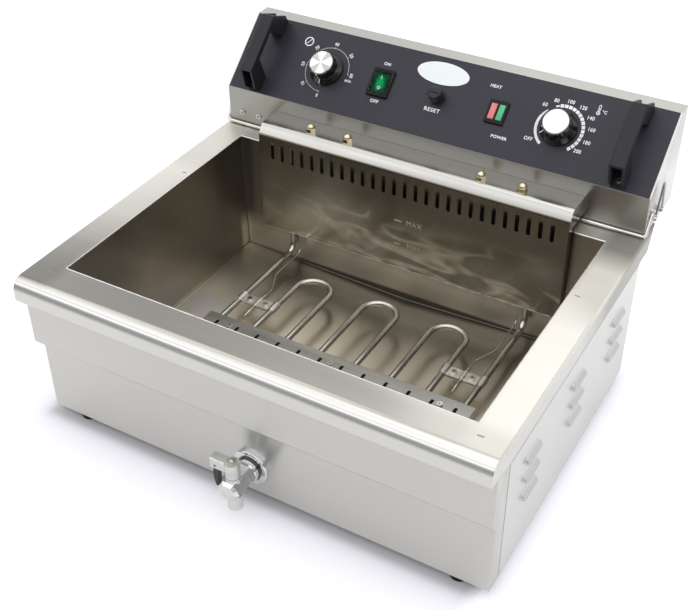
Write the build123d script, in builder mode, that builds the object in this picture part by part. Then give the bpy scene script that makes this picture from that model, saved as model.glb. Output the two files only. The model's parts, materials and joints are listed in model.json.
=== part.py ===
from build123d import *
from math import atan2, cos, degrees, hypot, radians, sin, tan
import os

os.makedirs("parts", exist_ok=True)

# Counter-top electric deep fryer: one tank with a drain tap, and a control head that lifts off.
# Millimetres. X runs to the right seen from the front, Y to the back, Z up.
# The origin is on the counter, under the middle of the whole fryer.

# steel sheet
SHEET = 1.2  # casing, tank and head sheet
SEAM = 0.2  # play between sheets that lie together
HOLE_FIT = 0.2  # play of a fixed piece in its hole
RUN_FIT = 0.06  # play of a turning or sliding shaft in its bore

# casing
BODY_W = 570.0  # deck, over its side flanges
FOOT_H = 10.0  # counter to the casing's lower edge
CASE_H = 199.0  # casing's lower edge to the deck
SIDE_RIM = 36.5  # deck beside the tank opening
FRONT_RIM = 32.5  # deck from the opening to the rolled front edge
REAR_RIM = 27.5  # deck from the opening to the control head
LEDGE = 36.0  # deck under the head, behind the head's front
LEDGE_LIP = 12.0  # fold along the ledge's back edge
FLANGE_H = 32.0  # deck's side flange
FLANGE_RAKE = 13.0  # lean of the flange's back end
NOSE_R = 14.5  # rolled front edge
NOSE_H = 27.0  # deck to the rolled edge's lower lip
APRON_SET = 14.0  # apron behind the rolled edge
APRON_H = 94.0  # deck to the apron's lower bend
APRON_FALL = 14.0  # height of the apron's sloping foot
APRON_WRAP = 27.0  # apron round the casing's corner
CASE_SET = 11.5  # lower front behind the apron
CASE_WRAP = 21.1  # lower front round the casing's corner
CASE_FOLD = 12.0  # folds along the casing's lower edges
CASE_TAIL = 1.5  # casing's back, behind the head's front
MARK_L = 7.0  # small pressed marks in the deck's rim
MARK_W = 2.6
MARK_DEEP = 0.5
MARK_FRONT = 15.0  # front pair, ahead of the opening
MARK_BACK = 229.0  # back pair, behind the opening's front edge

# louvres pressed out of the side panels
LOUVRE_L = 40.0
LOUVRE_H = 8.5
LOUVRE_OUT = 4.6
LOUVRE_DRAFT = 35.0
LOUVRE_EDGE = 0.5  # hood's upper edge, off the panel
LOUVRE_ROWS = 3
LOUVRE_GROUPS = 3
LOUVRE_PITCH = 25.5  # row to row
LOUVRE_SPAN = 124.0  # group to group
LOUVRE_TOP = 71.0  # deck to the upper row

# back and bottom
VENT_L = 60.0
VENT_W = 5.0
VENT_PITCH = 14.0
VENT_ROWS = 4
VENT_COLS = 2
VENT_SPAN = 240.0

# feet
FOOT_R = 11.0
FOOT_TOP_R = 10.0
FOOT_IN_X = 40.0  # foot centre, inside the casing's side
FOOT_IN_Y = 14.5  # foot centre, inside the casing's front and back
STEM_R = 2.3
STEM_H = 5.0

# tank
TANK_L = 341.0  # opening, front to back
TANK_UNDER = 26.5  # casing's lower edge to the floor's middle
FLOOR_DROP = 9.5  # the floor falls this much to the middle
WALL_LEAN = 1.5  # degrees
OPEN_CORNER = 1.5
TANK_FLANGE = 12.0

# drain and tap
DRAIN_UP = 1.5  # drain's axis, above the floor at the side walls
PIPE_R = 10.65
PIPE_BORE = 7.5
PIPE_IN = 4.0  # pipe inside the opening's front edge
COLLAR_R = 22.5
COLLAR_T = 5.5
COLLAR_ROUND = 2.2
SEAL_R = 15.7
SEAL_T = 2.0
RING_R = 14.5
RING_T = 6.0
RING_BEVEL = 1.4
SOCKET_R = 12.3
SOCKET_BORE_L = 11.0
TAP_OUT = 34.5  # tap's axis, in front of the casing
TAP_R = 13.0
TAP_HEX = 24.0  # body, across its flats
TAP_BEVEL = 3.3
TAP_BACK = 12.0  # socket's end, behind the tap's axis
TAP_NECK_R = 9.0
TAP_UP = 12.8  # drain axis to the body's top
SPOUT_R = 8.6
SPOUT_BORE = 5.6
SPOUT_L = 18.0
PLUG_R = 6.5
PLUG_FLOOR = 3.0
PORT_R = 4.2
STEM_TAP_R = 3.2
BONNET_R = 8.8
BONNET_T = 2.5
BONNET_IN = 5.0
LEVER_GAP = 0.5
LEVER_W = 12.0
LEVER_T = 13.0
LEVER_L = 25.0  # tap's axis to the bar's end
LEVER_BEVEL = 0.8
HUB_R = 8.5
HUB_DROP = 5.9  # hub, below the bar's underside
DOME_R = 4.7
DOME_T = 2.2
LATCH_PIN_R = 1.5
LATCH_PIN_IN = 6.5  # pin, inside the bar's end
LATCH_PIN_UP = 4.0  # pin, above the bar's underside
LATCH_W = 6.0
LATCH_L = 29.0  # below the bar
LATCH_PLAY = 0.4
LATCH_EAR_R = 3.4
LATCH_BOW = 5.2  # finger's outer face at its middle, beyond the pin
LATCH_HOLLOW = 1.0  # finger's inner face at its middle, inside the pin
LATCH_TIP = 3.0
LATCH_END = 0.7  # finger's end, inside the pin and clear of the tap's corners

# control head
HEAD_IN = 1.5  # head's side, inside the deck's
HEAD_D = 99.5
HEAD_H = 122.0
FRONT_H = 51.3  # upright front below the sloping panel
PANEL_RUN = 78.2  # depth of the sloping panel
REST = 0.1  # play under the head
COVER_SET = 2.8  # back cover's seat, inside the head's back edge
COVER_LIP = 10.0
TONGUE_W = 40.0
TONGUE_L = 28.0
TONGUE_ROUND = 6.0
TONGUE_IN = 83.5  # inside the head's side
TONGUE_BACK = 20.0  # behind the head's front
TONGUE_FIT = 0.4
FASCIA_T = 1.0
FASCIA_IN = 2.0  # bare steel left beside the fascia
CONTROL_STEP = 78.0  # control to control along the panel
BADGE_L = 69.0
BADGE_W = 28.5
BADGE_T = 0.8
BADGE_X = -4.5
BADGE_UP = 30.8  # above the row of controls

# handles
HANDLE_IN = 39.5  # handle's middle, inside the head's side
HANDLE_W = 17.7
HANDLE_END = 0.8  # panel left bare beyond the handle's ends
HANDLE_H = 38.0
HANDLE_RAKE = 13.7
HANDLE_SOLE = 12.0  # the ends reach out the most at this height
HANDLE_TUCK = 3.2  # foot, inside the ends
HANDLE_BAR = 9.0
HANDLE_LEG = 22.8
HANDLE_WALL = 2.6
HANDLE_ROUND = 1.8
HANDLE_SCREW_IN = 9.4
HANDLE_SCREW_R = 2.0
HANDLE_HEAD_R = 3.6

# knobs
SHAFT_R = 3.0
SHAFT_TOP = 15.0
SHAFT_IN = 14.0
BUSH_R = 5.0
KNOB_GAP = 0.6
SKIRT_R = 22.0
SKIRT_T = 3.0
SKIRT_H = 8.0
GRIP_R = 17.4
KNOB_H = 21.5
FLUTES = 10
FLUTE_R = 4.0
FLUTE_DEEP = 1.1
CAP_R = 15.4
CAP_T = 1.6
CAP_SEAT = 0.8
TIMER_ZERO = -90.0  # pointer's direction on the panel, in degrees
HEAT_OFF = 214.0
TIMER_R = 22.0
TIMER_T = 30.0
HEAT_W = 42.0
HEAT_L = 36.0
HEAT_T = 26.0

# rocker switch
SWITCH_W = 21.6
SWITCH_L = 29.6
SWITCH_DEEP = 24.0
BEZEL_W = 29.0
BEZEL_L = 37.0
BEZEL_T = 3.6
ROCKER_W = 19.6
ROCKER_L = 24.8
ROCKER_TILT = 8.0
ROCKER_TOP = 4.5
ROCKER_DIP = 1.3
ROCKER_SIDE = 0.6
ROCKER_END = 1.1
COVER_T = 0.7
COVER_H = 4.2

# reset button and its limiter
NECK_R = 6.0
RESET_COLLAR_R = 11.0
RESET_COLLAR_T = 1.6
RESET_R = 9.0
RESET_H = 16.5
RESET_TRAVEL = 3.0
RESET_STEM_R = 2.5
RESET_STEM_L = 14.0
LIMITER_R = 15.0
LIMITER_T = 24.0

# double lamp
LAMP_W = 21.6
LAMP_L = 25.6
LAMP_DEEP = 20.0
LAMP_BEZEL_W = 24.6
LAMP_BEZEL_L = 29.7
LAMP_BEZEL_T = 2.4
LENS_W = 7.6
LENS_L = 20.0
LENS_STEP = 10.4
LENS_SEAT = 1.4
LENS_OUT = 1.2

# heating element, one tube
TUBE_R = 4.0
LEGS = 8
LEG_SIDE = 81.55  # outer leg, inside the opening's side
LEG_UP = 17.0  # legs' axis, above the floor at the side walls
LEG_FRONT = 30.0  # opening's front edge to the front bends
LEG_BACK = 57.0  # back bends, in front of the opening's back edge
RISER_IN = 10.0  # riser, in front of the opening's back edge
RISER_R = 16.0
RUN_UP = 18.0  # deck to the tube's run into the head
TUBE_IN = 16.0  # tube inside the head
GLAND_NUT = 14.0
GLAND_NUT_T = 5.0
PIN_R = 1.6
PIN_L = 12.0

# guard that hangs in front of the risers
GUARD_SIDE = 39.0  # guard's end, inside the opening's side
GUARD_IN = 15.5  # guard's face, in front of the opening's back edge
GUARD_UP = 47.0  # guard's lower edge, above the floor at the side walls
SHELF_UP = 33.0
BEND_RUN = 8.0
BEND_FALL = 12.0
BEND_R = 6.0
WING_UP = 8.0
WING_T = 10.5
SLOTS = 27
SLOT_END = 19.3  # last slot, inside the guard's end
SLOT_W = 5.0
SLOT_L = 24.0
BRACKET_OVER = 7.5  # bracket's end, beyond the last stud
STUD_R = 3.0
STUD_SIDE = 24.5  # outer stud, inside the outer leg
STUD_PITCH = 52.5
STUD_IN = 9.7  # studs, behind the shelf's bend
ACORN = 11.5
ACORN_T = 6.0
ACORN_DOME = 5.1

# wire rail round the head's front
WIRE_R = 2.0
RAIL_UP = 3.2
RAIL_OUT = 2.9  # in front of the head
RAIL_BEND = 4.0
PEG_R = 3.2
PEG_STEM_R = 2.5
PEG_L = 7.5
PEG_UP = 20.5
PEG_Y1 = 14.0  # behind the head's front
PEG_Y2 = 36.5
CLIP_R = 1.2
CLIP_UP = 66.0

# sensors and clamps on the element
BULB_R = 2.2
BULB_TIP = 0.9
BULB_TAPER = 12.0
BULB_L = 50.0
BULB_BACK = 115.0  # bulb's end, in front of the opening's back edge
CAPILLARY_R = 0.8
CAPILLARY_IN = 10.5  # capillary, beside the riser
CAPILLARY_LEAD = 14.0  # straight ends at the unit and at the bulb
CAPILLARY_SHIFT = 30.0  # run in which it moves beside the riser
CAPILLARY_BEND = 8.0
CLAMP_L = 60.0  # plates below the strip
CLAMP_W = 16.0
CLAMP_GAP = 1.0  # between the two halves of a sensor clamp
CLAMP_BACK = 31.0  # sensor clamp, behind the bulb's front end
SCREW_R = 2.0
SCREW_HEAD_R = 3.6
SCREW_HEAD_T = 2.2
CLAMP_PITCH = 23.4
STRIP_OVER = 14.0  # strip's end, beyond the outer leg
STRIP_W = 30.0
STRIP_AHEAD = 31.0  # strip, in front of the bulbs
STRIP_SLOTS = 12
STRIP_END = 18.7  # last slot, inside the strip's end
STRIP_SLOT_L = 9.0
STRIP_SLOT_W = 4.0

# interlock switch
LOCK_IN = 32.8  # inside the head's left side
LOCK_UP = 17.9
LOCK_PITCH = 25.3
LOCK_W = 34.0
LOCK_H = 16.0
LOCK_T = 12.0
LUG_IN = 23.8  # inside the head's left side
LUG_W = 15.0
LUG_H = 9.0
LUG_BACK = 6.0
LUG_PLAY = 2.0
COVER_SCREW_UP = 14.0

# cable gland under the head's overhang
GLAND_IN = 83.5  # inside the head's right side
GLAND_BACK = 27.5  # in front of the head's back
GLAND_R = 10.0
GLAND_HEX = 24.0
GLAND_HEX_T = 6.0
GLAND_CAP_R = 10.5
GLAND_CAP_T = 13.0
CORD_R = 5.0

# places that follow from the sizes
DECK_Z = FOOT_H + CASE_H
TANK_DEEP = CASE_H - FLOOR_DROP - TANK_UNDER
DRAIN_DOWN = TANK_DEEP - DRAIN_UP
LEG_DOWN = TANK_DEEP - LEG_UP
GUARD_DOWN = TANK_DEEP - GUARD_UP
HALF_W = BODY_W / 2
TANK_W = BODY_W - 2 * SIDE_RIM
FRONT_REACH = FRONT_RIM + NOSE_R - APRON_SET - CASE_SET + TAP_OUT + TAP_R
BACK_REACH = TANK_L + REAR_RIM + HEAD_D
OPEN_Y = (FRONT_REACH - BACK_REACH) / 2
REAR_Y = OPEN_Y + TANK_L
HEAD_Y = REAR_Y + REAR_RIM
BACK_Y = HEAD_Y + HEAD_D
TAIL_Y = HEAD_Y + CASE_TAIL
LEDGE_Y = HEAD_Y + LEDGE
NOSE_Y = OPEN_Y - FRONT_RIM - NOSE_R
APRON_Y = NOSE_Y + APRON_SET
CASE_Y = APRON_Y + CASE_SET
PANEL_X = HALF_W - SHEET - SEAM
PANEL_Y = CASE_Y + CASE_WRAP + 2 * SEAM
UNDER_Z = DECK_Z - SHEET - SEAM
HEAD_W = BODY_W - 2 * HEAD_IN
HEAD_X = HEAD_W / 2
TONGUE_X = HEAD_X - TONGUE_IN
HANDLE_X = HEAD_X - HANDLE_IN
LOCK_X = LOCK_IN - HEAD_X
LUG_X = LUG_IN - HEAD_X
COVER_SCREW_X = HEAD_X - SHEET - COVER_LIP / 2
GLAND_X = HEAD_X - GLAND_IN
HEAD_Z = DECK_Z + REST
HEAD_TOP = DECK_Z + HEAD_H
TAP_Y = CASE_Y - TAP_OUT
DRAIN_Z = DECK_Z - DRAIN_DOWN
SLOPE = atan2(HEAD_H - FRONT_H, PANEL_RUN)
PANEL_LEN = hypot(HEAD_H - FRONT_H, PANEL_RUN)
ROW_V = PANEL_LEN / 2
OUT = (0, -sin(SLOPE), cos(SLOPE))
UP = (0, cos(SLOPE), sin(SLOPE))
PANEL = Plane(origin=(0, HEAD_Y, DECK_Z + FRONT_H), x_dir=(1, 0, 0), z_dir=OUT)
FACE_H = SEAM / 4 + FASCIA_T
LEG_Z = DECK_Z - LEG_DOWN
RUN_Z = DECK_Z + RUN_UP
RISER_Y = REAR_Y - RISER_IN
GUARD_Y = REAR_Y - GUARD_IN
LEG_STEP = (TANK_W - 2 * LEG_SIDE) / (LEGS - 1)
LEG_X = [LEG_SIDE - TANK_W / 2 + i * LEG_STEP for i in range(LEGS)]
CLAMP_X = LEG_X[-1] - LEG_STEP / 2
GUARD_W = TANK_W - 2 * GUARD_SIDE
SLOT_PITCH = (GUARD_W - 2 * SLOT_END) / (SLOTS - 1)
STUD_X2 = LEG_X[-1] - STUD_SIDE
STUD_X1 = STUD_X2 - STUD_PITCH
BRACKET_W = 2 * (STUD_X2 + BRACKET_OVER)
STRIP_L = 2 * (LEG_X[-1] + STRIP_OVER)
STRIP_PITCH = (STRIP_L - 2 * STRIP_END) / (STRIP_SLOTS - 1)
BULB_Y = REAR_Y - BULB_BACK - BULB_L
RAIL_X = HEAD_X + WIRE_R + SEAM


def level(z):
    return Plane.XY.offset(z)


def across(x):
    # sketch in Y and Z, facing right
    return Plane.YZ.offset(x)


def facing(y):
    # sketch in X and Z, facing the front
    return Plane(origin=(0, y, 0), x_dir=(1, 0, 0), z_dir=(0, -1, 0))


def on_panel(u, v, h=0.0):
    return Plane(origin=PANEL.from_local_coords((u, v, h)), x_dir=(1, 0, 0), z_dir=OUT)


def cut_through(spot):
    # sketch in a spot's radius and height, for turning
    return Plane(origin=spot.origin, x_dir=spot.x_dir, z_dir=spot.y_dir * -1)


def beside_panel(u):
    # sketch along the sloping panel and out of it, facing right
    return Plane(origin=PANEL.from_local_coords((u, 0, FACE_H)), x_dir=UP, z_dir=(1, 0, 0))


def folded(points, thick):
    # outline of a folded sheet whose second face lies to the left of the line
    line = [Vector(*p) for p in points]
    inner = []
    for i, p in enumerate(line):
        before = (p - line[i - 1]).normalized() if i > 0 else None
        after = (line[i + 1] - p).normalized() if i < len(line) - 1 else None
        if before is None:
            before = after
        if after is None:
            after = before
        side_a = Vector(-before.Y, before.X)
        side_b = Vector(-after.Y, after.X)
        middle = (side_a + side_b).normalized()
        inner.append(p + middle * (thick / middle.dot(side_a)))
    return [(p.X, p.Y) for p in line] + [(p.X, p.Y) for p in reversed(inner)]


def corners_at(found, points):
    # the corners of a sketch that lie on the given points
    return [v for v in found for p in points if hypot(v.X - p[0], v.Y - p[1]) < 0.01]


def bent_line(points, radii):
    # straight runs joined by tangent arcs
    line = [Vector(*p) for p in points]
    start = line[0]
    for i in range(1, len(line) - 1):
        back = (line[i - 1] - line[i]).normalized()
        ahead = (line[i + 1] - line[i]).normalized()
        half = radians(back.get_angle(ahead)) / 2
        reach = radii[i - 1] / tan(half)
        toward = (back + ahead).normalized()
        centre = line[i] + toward * (radii[i - 1] / sin(half))
        enter = line[i] + back * reach
        leave = line[i] + ahead * reach
        if (enter - start).length > 0.001:
            Line(start, enter)
        ThreePointArc(enter, centre - toward * radii[i - 1], leave)
        start = leave
    if (line[-1] - start).length > 0.001:
        Line(start, line[-1])


# deck: rim round the tank, rolled front edge, side flanges and the ledge that carries the head
with BuildPart() as deck:
    with BuildSketch(level(DECK_Z - SHEET)):
        with Locations((0, (NOSE_Y + NOSE_R + LEDGE_Y) / 2)):
            Rectangle(BODY_W, LEDGE_Y - NOSE_Y - NOSE_R)
    extrude(amount=SHEET)
    with BuildSketch(across(-HALF_W)):
        with BuildLine():
            roll = (NOSE_Y + NOSE_R, DECK_Z - NOSE_R)
            lip = DECK_Z - NOSE_H
            CenterArc(roll, NOSE_R, 90, 90)
            CenterArc(roll, NOSE_R - SHEET, 90, 90)
            Line((roll[0], DECK_Z), (roll[0], DECK_Z - SHEET))
            Polyline(
                (NOSE_Y, roll[1]),
                (NOSE_Y, lip),
                (APRON_Y - SEAM, lip),
                (APRON_Y - SEAM, lip + SHEET),
                (NOSE_Y + SHEET, lip + SHEET),
                (NOSE_Y + SHEET, roll[1]),
            )
        make_face()
    extrude(amount=BODY_W)
    for side in (-HALF_W, HALF_W - SHEET):
        with BuildSketch(across(side)):
            with BuildLine():
                CenterArc(roll, NOSE_R, 90, 90)
                Polyline(
                    (NOSE_Y, roll[1]),
                    (NOSE_Y, lip),
                    (APRON_Y + SHEET + SEAM, lip),
                    (APRON_Y + APRON_WRAP, DECK_Z - FLANGE_H),
                    (LEDGE_Y - FLANGE_RAKE, DECK_Z - FLANGE_H),
                    (LEDGE_Y, DECK_Z),
                    (roll[0], DECK_Z),
                )
            make_face()
        extrude(amount=SHEET)
    with BuildSketch(facing(LEDGE_Y)):
        with Locations((0, DECK_Z - LEDGE_LIP / 2)):
            Rectangle(BODY_W - 2 * SHEET - 2 * FLANGE_RAKE, LEDGE_LIP)
    extrude(amount=SHEET)
    with BuildSketch(level(DECK_Z)):
        with Locations((0, OPEN_Y + TANK_L / 2)):
            RectangleRounded(TANK_W, TANK_L, OPEN_CORNER)
        with Locations((-TONGUE_X, HEAD_Y + TONGUE_BACK), (TONGUE_X, HEAD_Y + TONGUE_BACK)):
            Rectangle(TONGUE_W + 2 * TONGUE_FIT, SHEET + 2 * TONGUE_FIT)
    extrude(amount=-SHEET, mode=Mode.SUBTRACT)
    with BuildSketch(level(DECK_Z)):
        rim = TANK_W / 2 + SIDE_RIM / 4
        with Locations(*[(s * rim, OPEN_Y + y) for s in (-1, 1) for y in (-MARK_FRONT, MARK_BACK)]):
            SlotOverall(MARK_L, MARK_W)
    extrude(amount=-MARK_DEEP, mode=Mode.SUBTRACT)
    with BuildSketch(level(DECK_Z)):
        with Locations((LUG_X, HEAD_Y + LUG_BACK)):
            Rectangle(LUG_W, SHEET)
    extrude(amount=LUG_H)

# tank: leaning walls, a floor that falls to the middle, a flange under the deck
lean = tan(radians(WALL_LEAN))
with BuildPart() as tank:
    top = Plane(origin=(0, OPEN_Y + TANK_L / 2, UNDER_Z), x_dir=(1, 0, 0), z_dir=(0, 0, -1))
    deep = TANK_DEEP - SHEET - SEAM
    for skin in (SHEET, 0):
        floor_w = TANK_W + 2 * skin - 2 * (deep + skin) * lean
        floor_l = TANK_L + 2 * skin - 2 * (deep + skin) * lean
        floor_z = DECK_Z - TANK_DEEP - skin
        mode = Mode.ADD if skin else Mode.SUBTRACT
        with BuildSketch(top):
            Rectangle(TANK_W + 2 * skin, TANK_L + 2 * skin)
        extrude(amount=deep + skin, taper=WALL_LEAN, mode=mode)
        with BuildSketch(facing(OPEN_Y + TANK_L / 2)):
            with BuildLine():
                Polyline(
                    (-floor_w / 2, floor_z), (floor_w / 2, floor_z), (0, floor_z - FLOOR_DROP), close=True
                )
            make_face()
        extrude(amount=floor_l / 2, both=True, mode=mode)
    with BuildSketch(level(UNDER_Z)):
        with Locations((0, OPEN_Y + TANK_L / 2)):
            Rectangle(TANK_W + 2 * TANK_FLANGE, TANK_L + 2 * TANK_FLANGE)
            Rectangle(TANK_W, TANK_L, mode=Mode.SUBTRACT)
    extrude(amount=-SHEET)
    with BuildSketch(facing(OPEN_Y + 3 * PIPE_IN)):
        with Locations((0, DRAIN_Z)):
            Circle(PIPE_R + RUN_FIT)
    extrude(amount=6 * PIPE_IN, mode=Mode.SUBTRACT)

# apron: upper front sheet behind the rolled edge, folded round both corners
with BuildPart() as apron:
    bend = DECK_Z - APRON_H
    foot = CASE_Y - SEAM
    shoulder = DECK_Z - NOSE_H - SEAM
    with BuildSketch(across(-HALF_W)):
        with BuildLine():
            Polyline(
                *folded([(APRON_Y, shoulder), (APRON_Y, bend), (foot, bend - APRON_FALL)], SHEET),
                close=True,
            )
        make_face()
    extrude(amount=BODY_W)
    with BuildSketch(facing(APRON_Y + SHEET)):
        with Locations((0, (UNDER_Z + shoulder) / 2)):
            Rectangle(2 * PANEL_X, UNDER_Z - shoulder)
    extrude(amount=SHEET)
    for side in (-HALF_W, HALF_W - SHEET):
        with BuildSketch(across(side)):
            with BuildLine():
                Polyline(
                    (APRON_Y, shoulder),
                    (APRON_Y, bend),
                    (foot, bend - APRON_FALL),
                    (APRON_Y + APRON_WRAP, bend - APRON_FALL),
                    (APRON_Y + APRON_WRAP, DECK_Z - FLANGE_H - SEAM),
                    close=True,
                )
            make_face()
        extrude(amount=SHEET)
    # the foot ends in front of the lower front sheet
    with BuildSketch(across(-HALF_W + SHEET)):
        with Locations((foot + CASE_WRAP / 2, bend - APRON_FALL)):
            Rectangle(CASE_WRAP, 4 * APRON_FALL)
    extrude(amount=BODY_W - 2 * SHEET, mode=Mode.SUBTRACT)

# lower front, folded round both corners and along its lower edge
with BuildPart() as front_casing:
    with BuildSketch(level(FOOT_H)):
        with Locations((0, CASE_Y + CASE_WRAP / 2)):
            Rectangle(2 * PANEL_X, CASE_WRAP)
        with Locations((0, CASE_Y + CASE_WRAP / 2 + SHEET)):
            Rectangle(2 * PANEL_X - 2 * SHEET, CASE_WRAP, mode=Mode.SUBTRACT)
    extrude(amount=UNDER_Z - FOOT_H)
    with BuildSketch(level(FOOT_H)):
        with Locations((0, CASE_Y + CASE_FOLD / 2)):
            Rectangle(2 * PANEL_X, CASE_FOLD)
    extrude(amount=SHEET)
    with BuildSketch(facing(CASE_Y + SHEET)):
        with Locations((0, DRAIN_Z)):
            Circle(PIPE_R + 3 * HOLE_FIT)
    extrude(amount=SHEET, mode=Mode.SUBTRACT)

# one pressed louvre: a hood that rises to its open lower edge, and the space inside it
hood = split(
    extrude(SlotOverall(LOUVRE_L, 2 * LOUVRE_H), amount=LOUVRE_OUT, taper=LOUVRE_DRAFT),
    bisect_by=Plane.XZ,
    keep=Keep.BOTTOM,
)
rise = Plane(origin=(0, 0, LOUVRE_OUT), x_dir=(1, 0, 0), z_dir=(0, LOUVRE_OUT - LOUVRE_EDGE, LOUVRE_H))
hood = split(hood, bisect_by=rise, keep=Keep.BOTTOM)
hollow_slot = SlotOverall(LOUVRE_L - 2 * SHEET, 2 * LOUVRE_H - 2 * SHEET)
hollow = split(
    extrude(hollow_slot, amount=LOUVRE_OUT - SHEET, taper=LOUVRE_DRAFT)
    + extrude(hollow_slot, amount=-2 * SHEET),
    bisect_by=Plane.XZ,
    keep=Keep.BOTTOM,
)
hollow = split(hollow, bisect_by=rise.offset(-SHEET), keep=Keep.BOTTOM)

# right side panel with its louvres; the left one is its mirror
with BuildPart() as side_panel_right:
    with BuildSketch(across(PANEL_X - SHEET)):
        with Locations(((PANEL_Y + TAIL_Y) / 2, (FOOT_H + UNDER_Z) / 2)):
            Rectangle(TAIL_Y - PANEL_Y, UNDER_Z - FOOT_H)
    extrude(amount=SHEET)
    with BuildSketch(level(FOOT_H)):
        with Locations((PANEL_X - CASE_FOLD / 2, (PANEL_Y + TAIL_Y) / 2)):
            Rectangle(CASE_FOLD, TAIL_Y - PANEL_Y - 2 * SHEET - 2 * SEAM)
    extrude(amount=SHEET)
    for group in range(LOUVRE_GROUPS):
        for row in range(LOUVRE_ROWS):
            louvre_y = (PANEL_Y + TAIL_Y) / 2 + (group - (LOUVRE_GROUPS - 1) / 2) * LOUVRE_SPAN
            louvre_z = DECK_Z - LOUVRE_TOP - row * LOUVRE_PITCH - LOUVRE_H / 2
            spot = Plane(origin=(PANEL_X, louvre_y, louvre_z), x_dir=(0, 1, 0), z_dir=(1, 0, 0))
            add(spot * hood)
            add(spot * hollow, mode=Mode.SUBTRACT)

with BuildPart() as side_panel_left:
    mirror(side_panel_right.part, about=Plane.YZ)

# back of the casing, with two groups of vent slots
back_w = 2 * (PANEL_X - SHEET - SEAM)
with BuildPart() as rear_panel:
    with BuildSketch(facing(TAIL_Y)):
        with Locations((0, (FOOT_H + UNDER_Z) / 2)):
            Rectangle(back_w, UNDER_Z - FOOT_H)
        with Locations((0, (FOOT_H + UNDER_Z) / 2)):
            with GridLocations(VENT_SPAN, VENT_PITCH, VENT_COLS, VENT_ROWS):
                SlotOverall(VENT_L, VENT_W, mode=Mode.SUBTRACT)
    extrude(amount=SHEET)
    with BuildSketch(level(FOOT_H)):
        with Locations((0, TAIL_Y - CASE_FOLD / 2)):
            Rectangle(back_w - 2 * CASE_FOLD, CASE_FOLD)
    extrude(amount=SHEET)

# bottom plate on the casing's folds; four feet below the folds, with stems through the plate
plate_front = CASE_Y + SHEET + SEAM
plate_back = TAIL_Y - SHEET - SEAM
foot_spots = [
    (s * (HALF_W - FOOT_IN_X), y) for s in (-1, 1) for y in (CASE_Y + FOOT_IN_Y, TAIL_Y - FOOT_IN_Y)
]
plate_z = FOOT_H + SHEET
with BuildPart() as bottom_plate:
    with BuildSketch(level(plate_z)):
        with Locations((0, (plate_front + plate_back) / 2)):
            Rectangle(back_w, plate_back - plate_front)
        with Locations(*foot_spots):
            Circle(STEM_R + RUN_FIT, mode=Mode.SUBTRACT)
        with Locations((0, (plate_front + plate_back) / 2)):
            with GridLocations(VENT_SPAN, VENT_PITCH, VENT_COLS, VENT_ROWS):
                SlotOverall(VENT_L, VENT_W, mode=Mode.SUBTRACT)
    extrude(amount=SHEET)

with BuildPart() as feet:
    with Locations(*[(x, y, 0) for x, y in foot_spots]):
        Cone(FOOT_R, FOOT_TOP_R, FOOT_H, align=(Align.CENTER, Align.CENTER, Align.MIN))
        Cylinder(STEM_R, plate_z + STEM_H, align=(Align.CENTER, Align.CENTER, Align.MIN))

# drain pipe from the tank to the tap, with its collar, seal and ring nut on the casing
with BuildPart() as drain_pipe:
    with BuildSketch(facing(OPEN_Y + PIPE_IN + lean * DRAIN_DOWN)):
        with Locations((0, DRAIN_Z)):
            Circle(PIPE_R)
            Circle(PIPE_BORE, mode=Mode.SUBTRACT)
    pipe_end = CASE_Y - COLLAR_T - SEAL_T - RING_T - SOCKET_BORE_L + SEAM
    extrude(amount=OPEN_Y + PIPE_IN + lean * DRAIN_DOWN - pipe_end)

with BuildPart() as drain_collar:
    with BuildSketch(facing(CASE_Y)):
        with Locations((0, DRAIN_Z)):
            Circle(COLLAR_R)
            Circle(PIPE_R + RUN_FIT, mode=Mode.SUBTRACT)
    extrude(amount=COLLAR_T)
    rims = drain_collar.edges().filter_by(GeomType.CIRCLE).sort_by(SortBy.RADIUS)[-2:]
    fillet(rims.sort_by(Axis.Y)[0], COLLAR_ROUND)

with BuildPart() as drain_seal:
    with BuildSketch(facing(CASE_Y - COLLAR_T)):
        with Locations((0, DRAIN_Z)):
            Circle(SEAL_R)
            Circle(PIPE_R + RUN_FIT, mode=Mode.SUBTRACT)
    extrude(amount=SEAL_T)

ring_y = CASE_Y - COLLAR_T - SEAL_T
with BuildPart() as drain_ring:
    with BuildSketch(facing(ring_y)):
        with Locations((0, DRAIN_Z)):
            Circle(RING_R)
            Circle(PIPE_R + RUN_FIT, mode=Mode.SUBTRACT)
    extrude(amount=RING_T)
    rims = drain_ring.edges().filter_by(GeomType.CIRCLE).sort_by(SortBy.RADIUS)[-2:]
    chamfer(rims.sort_by(Axis.Y)[0], RING_BEVEL)

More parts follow.
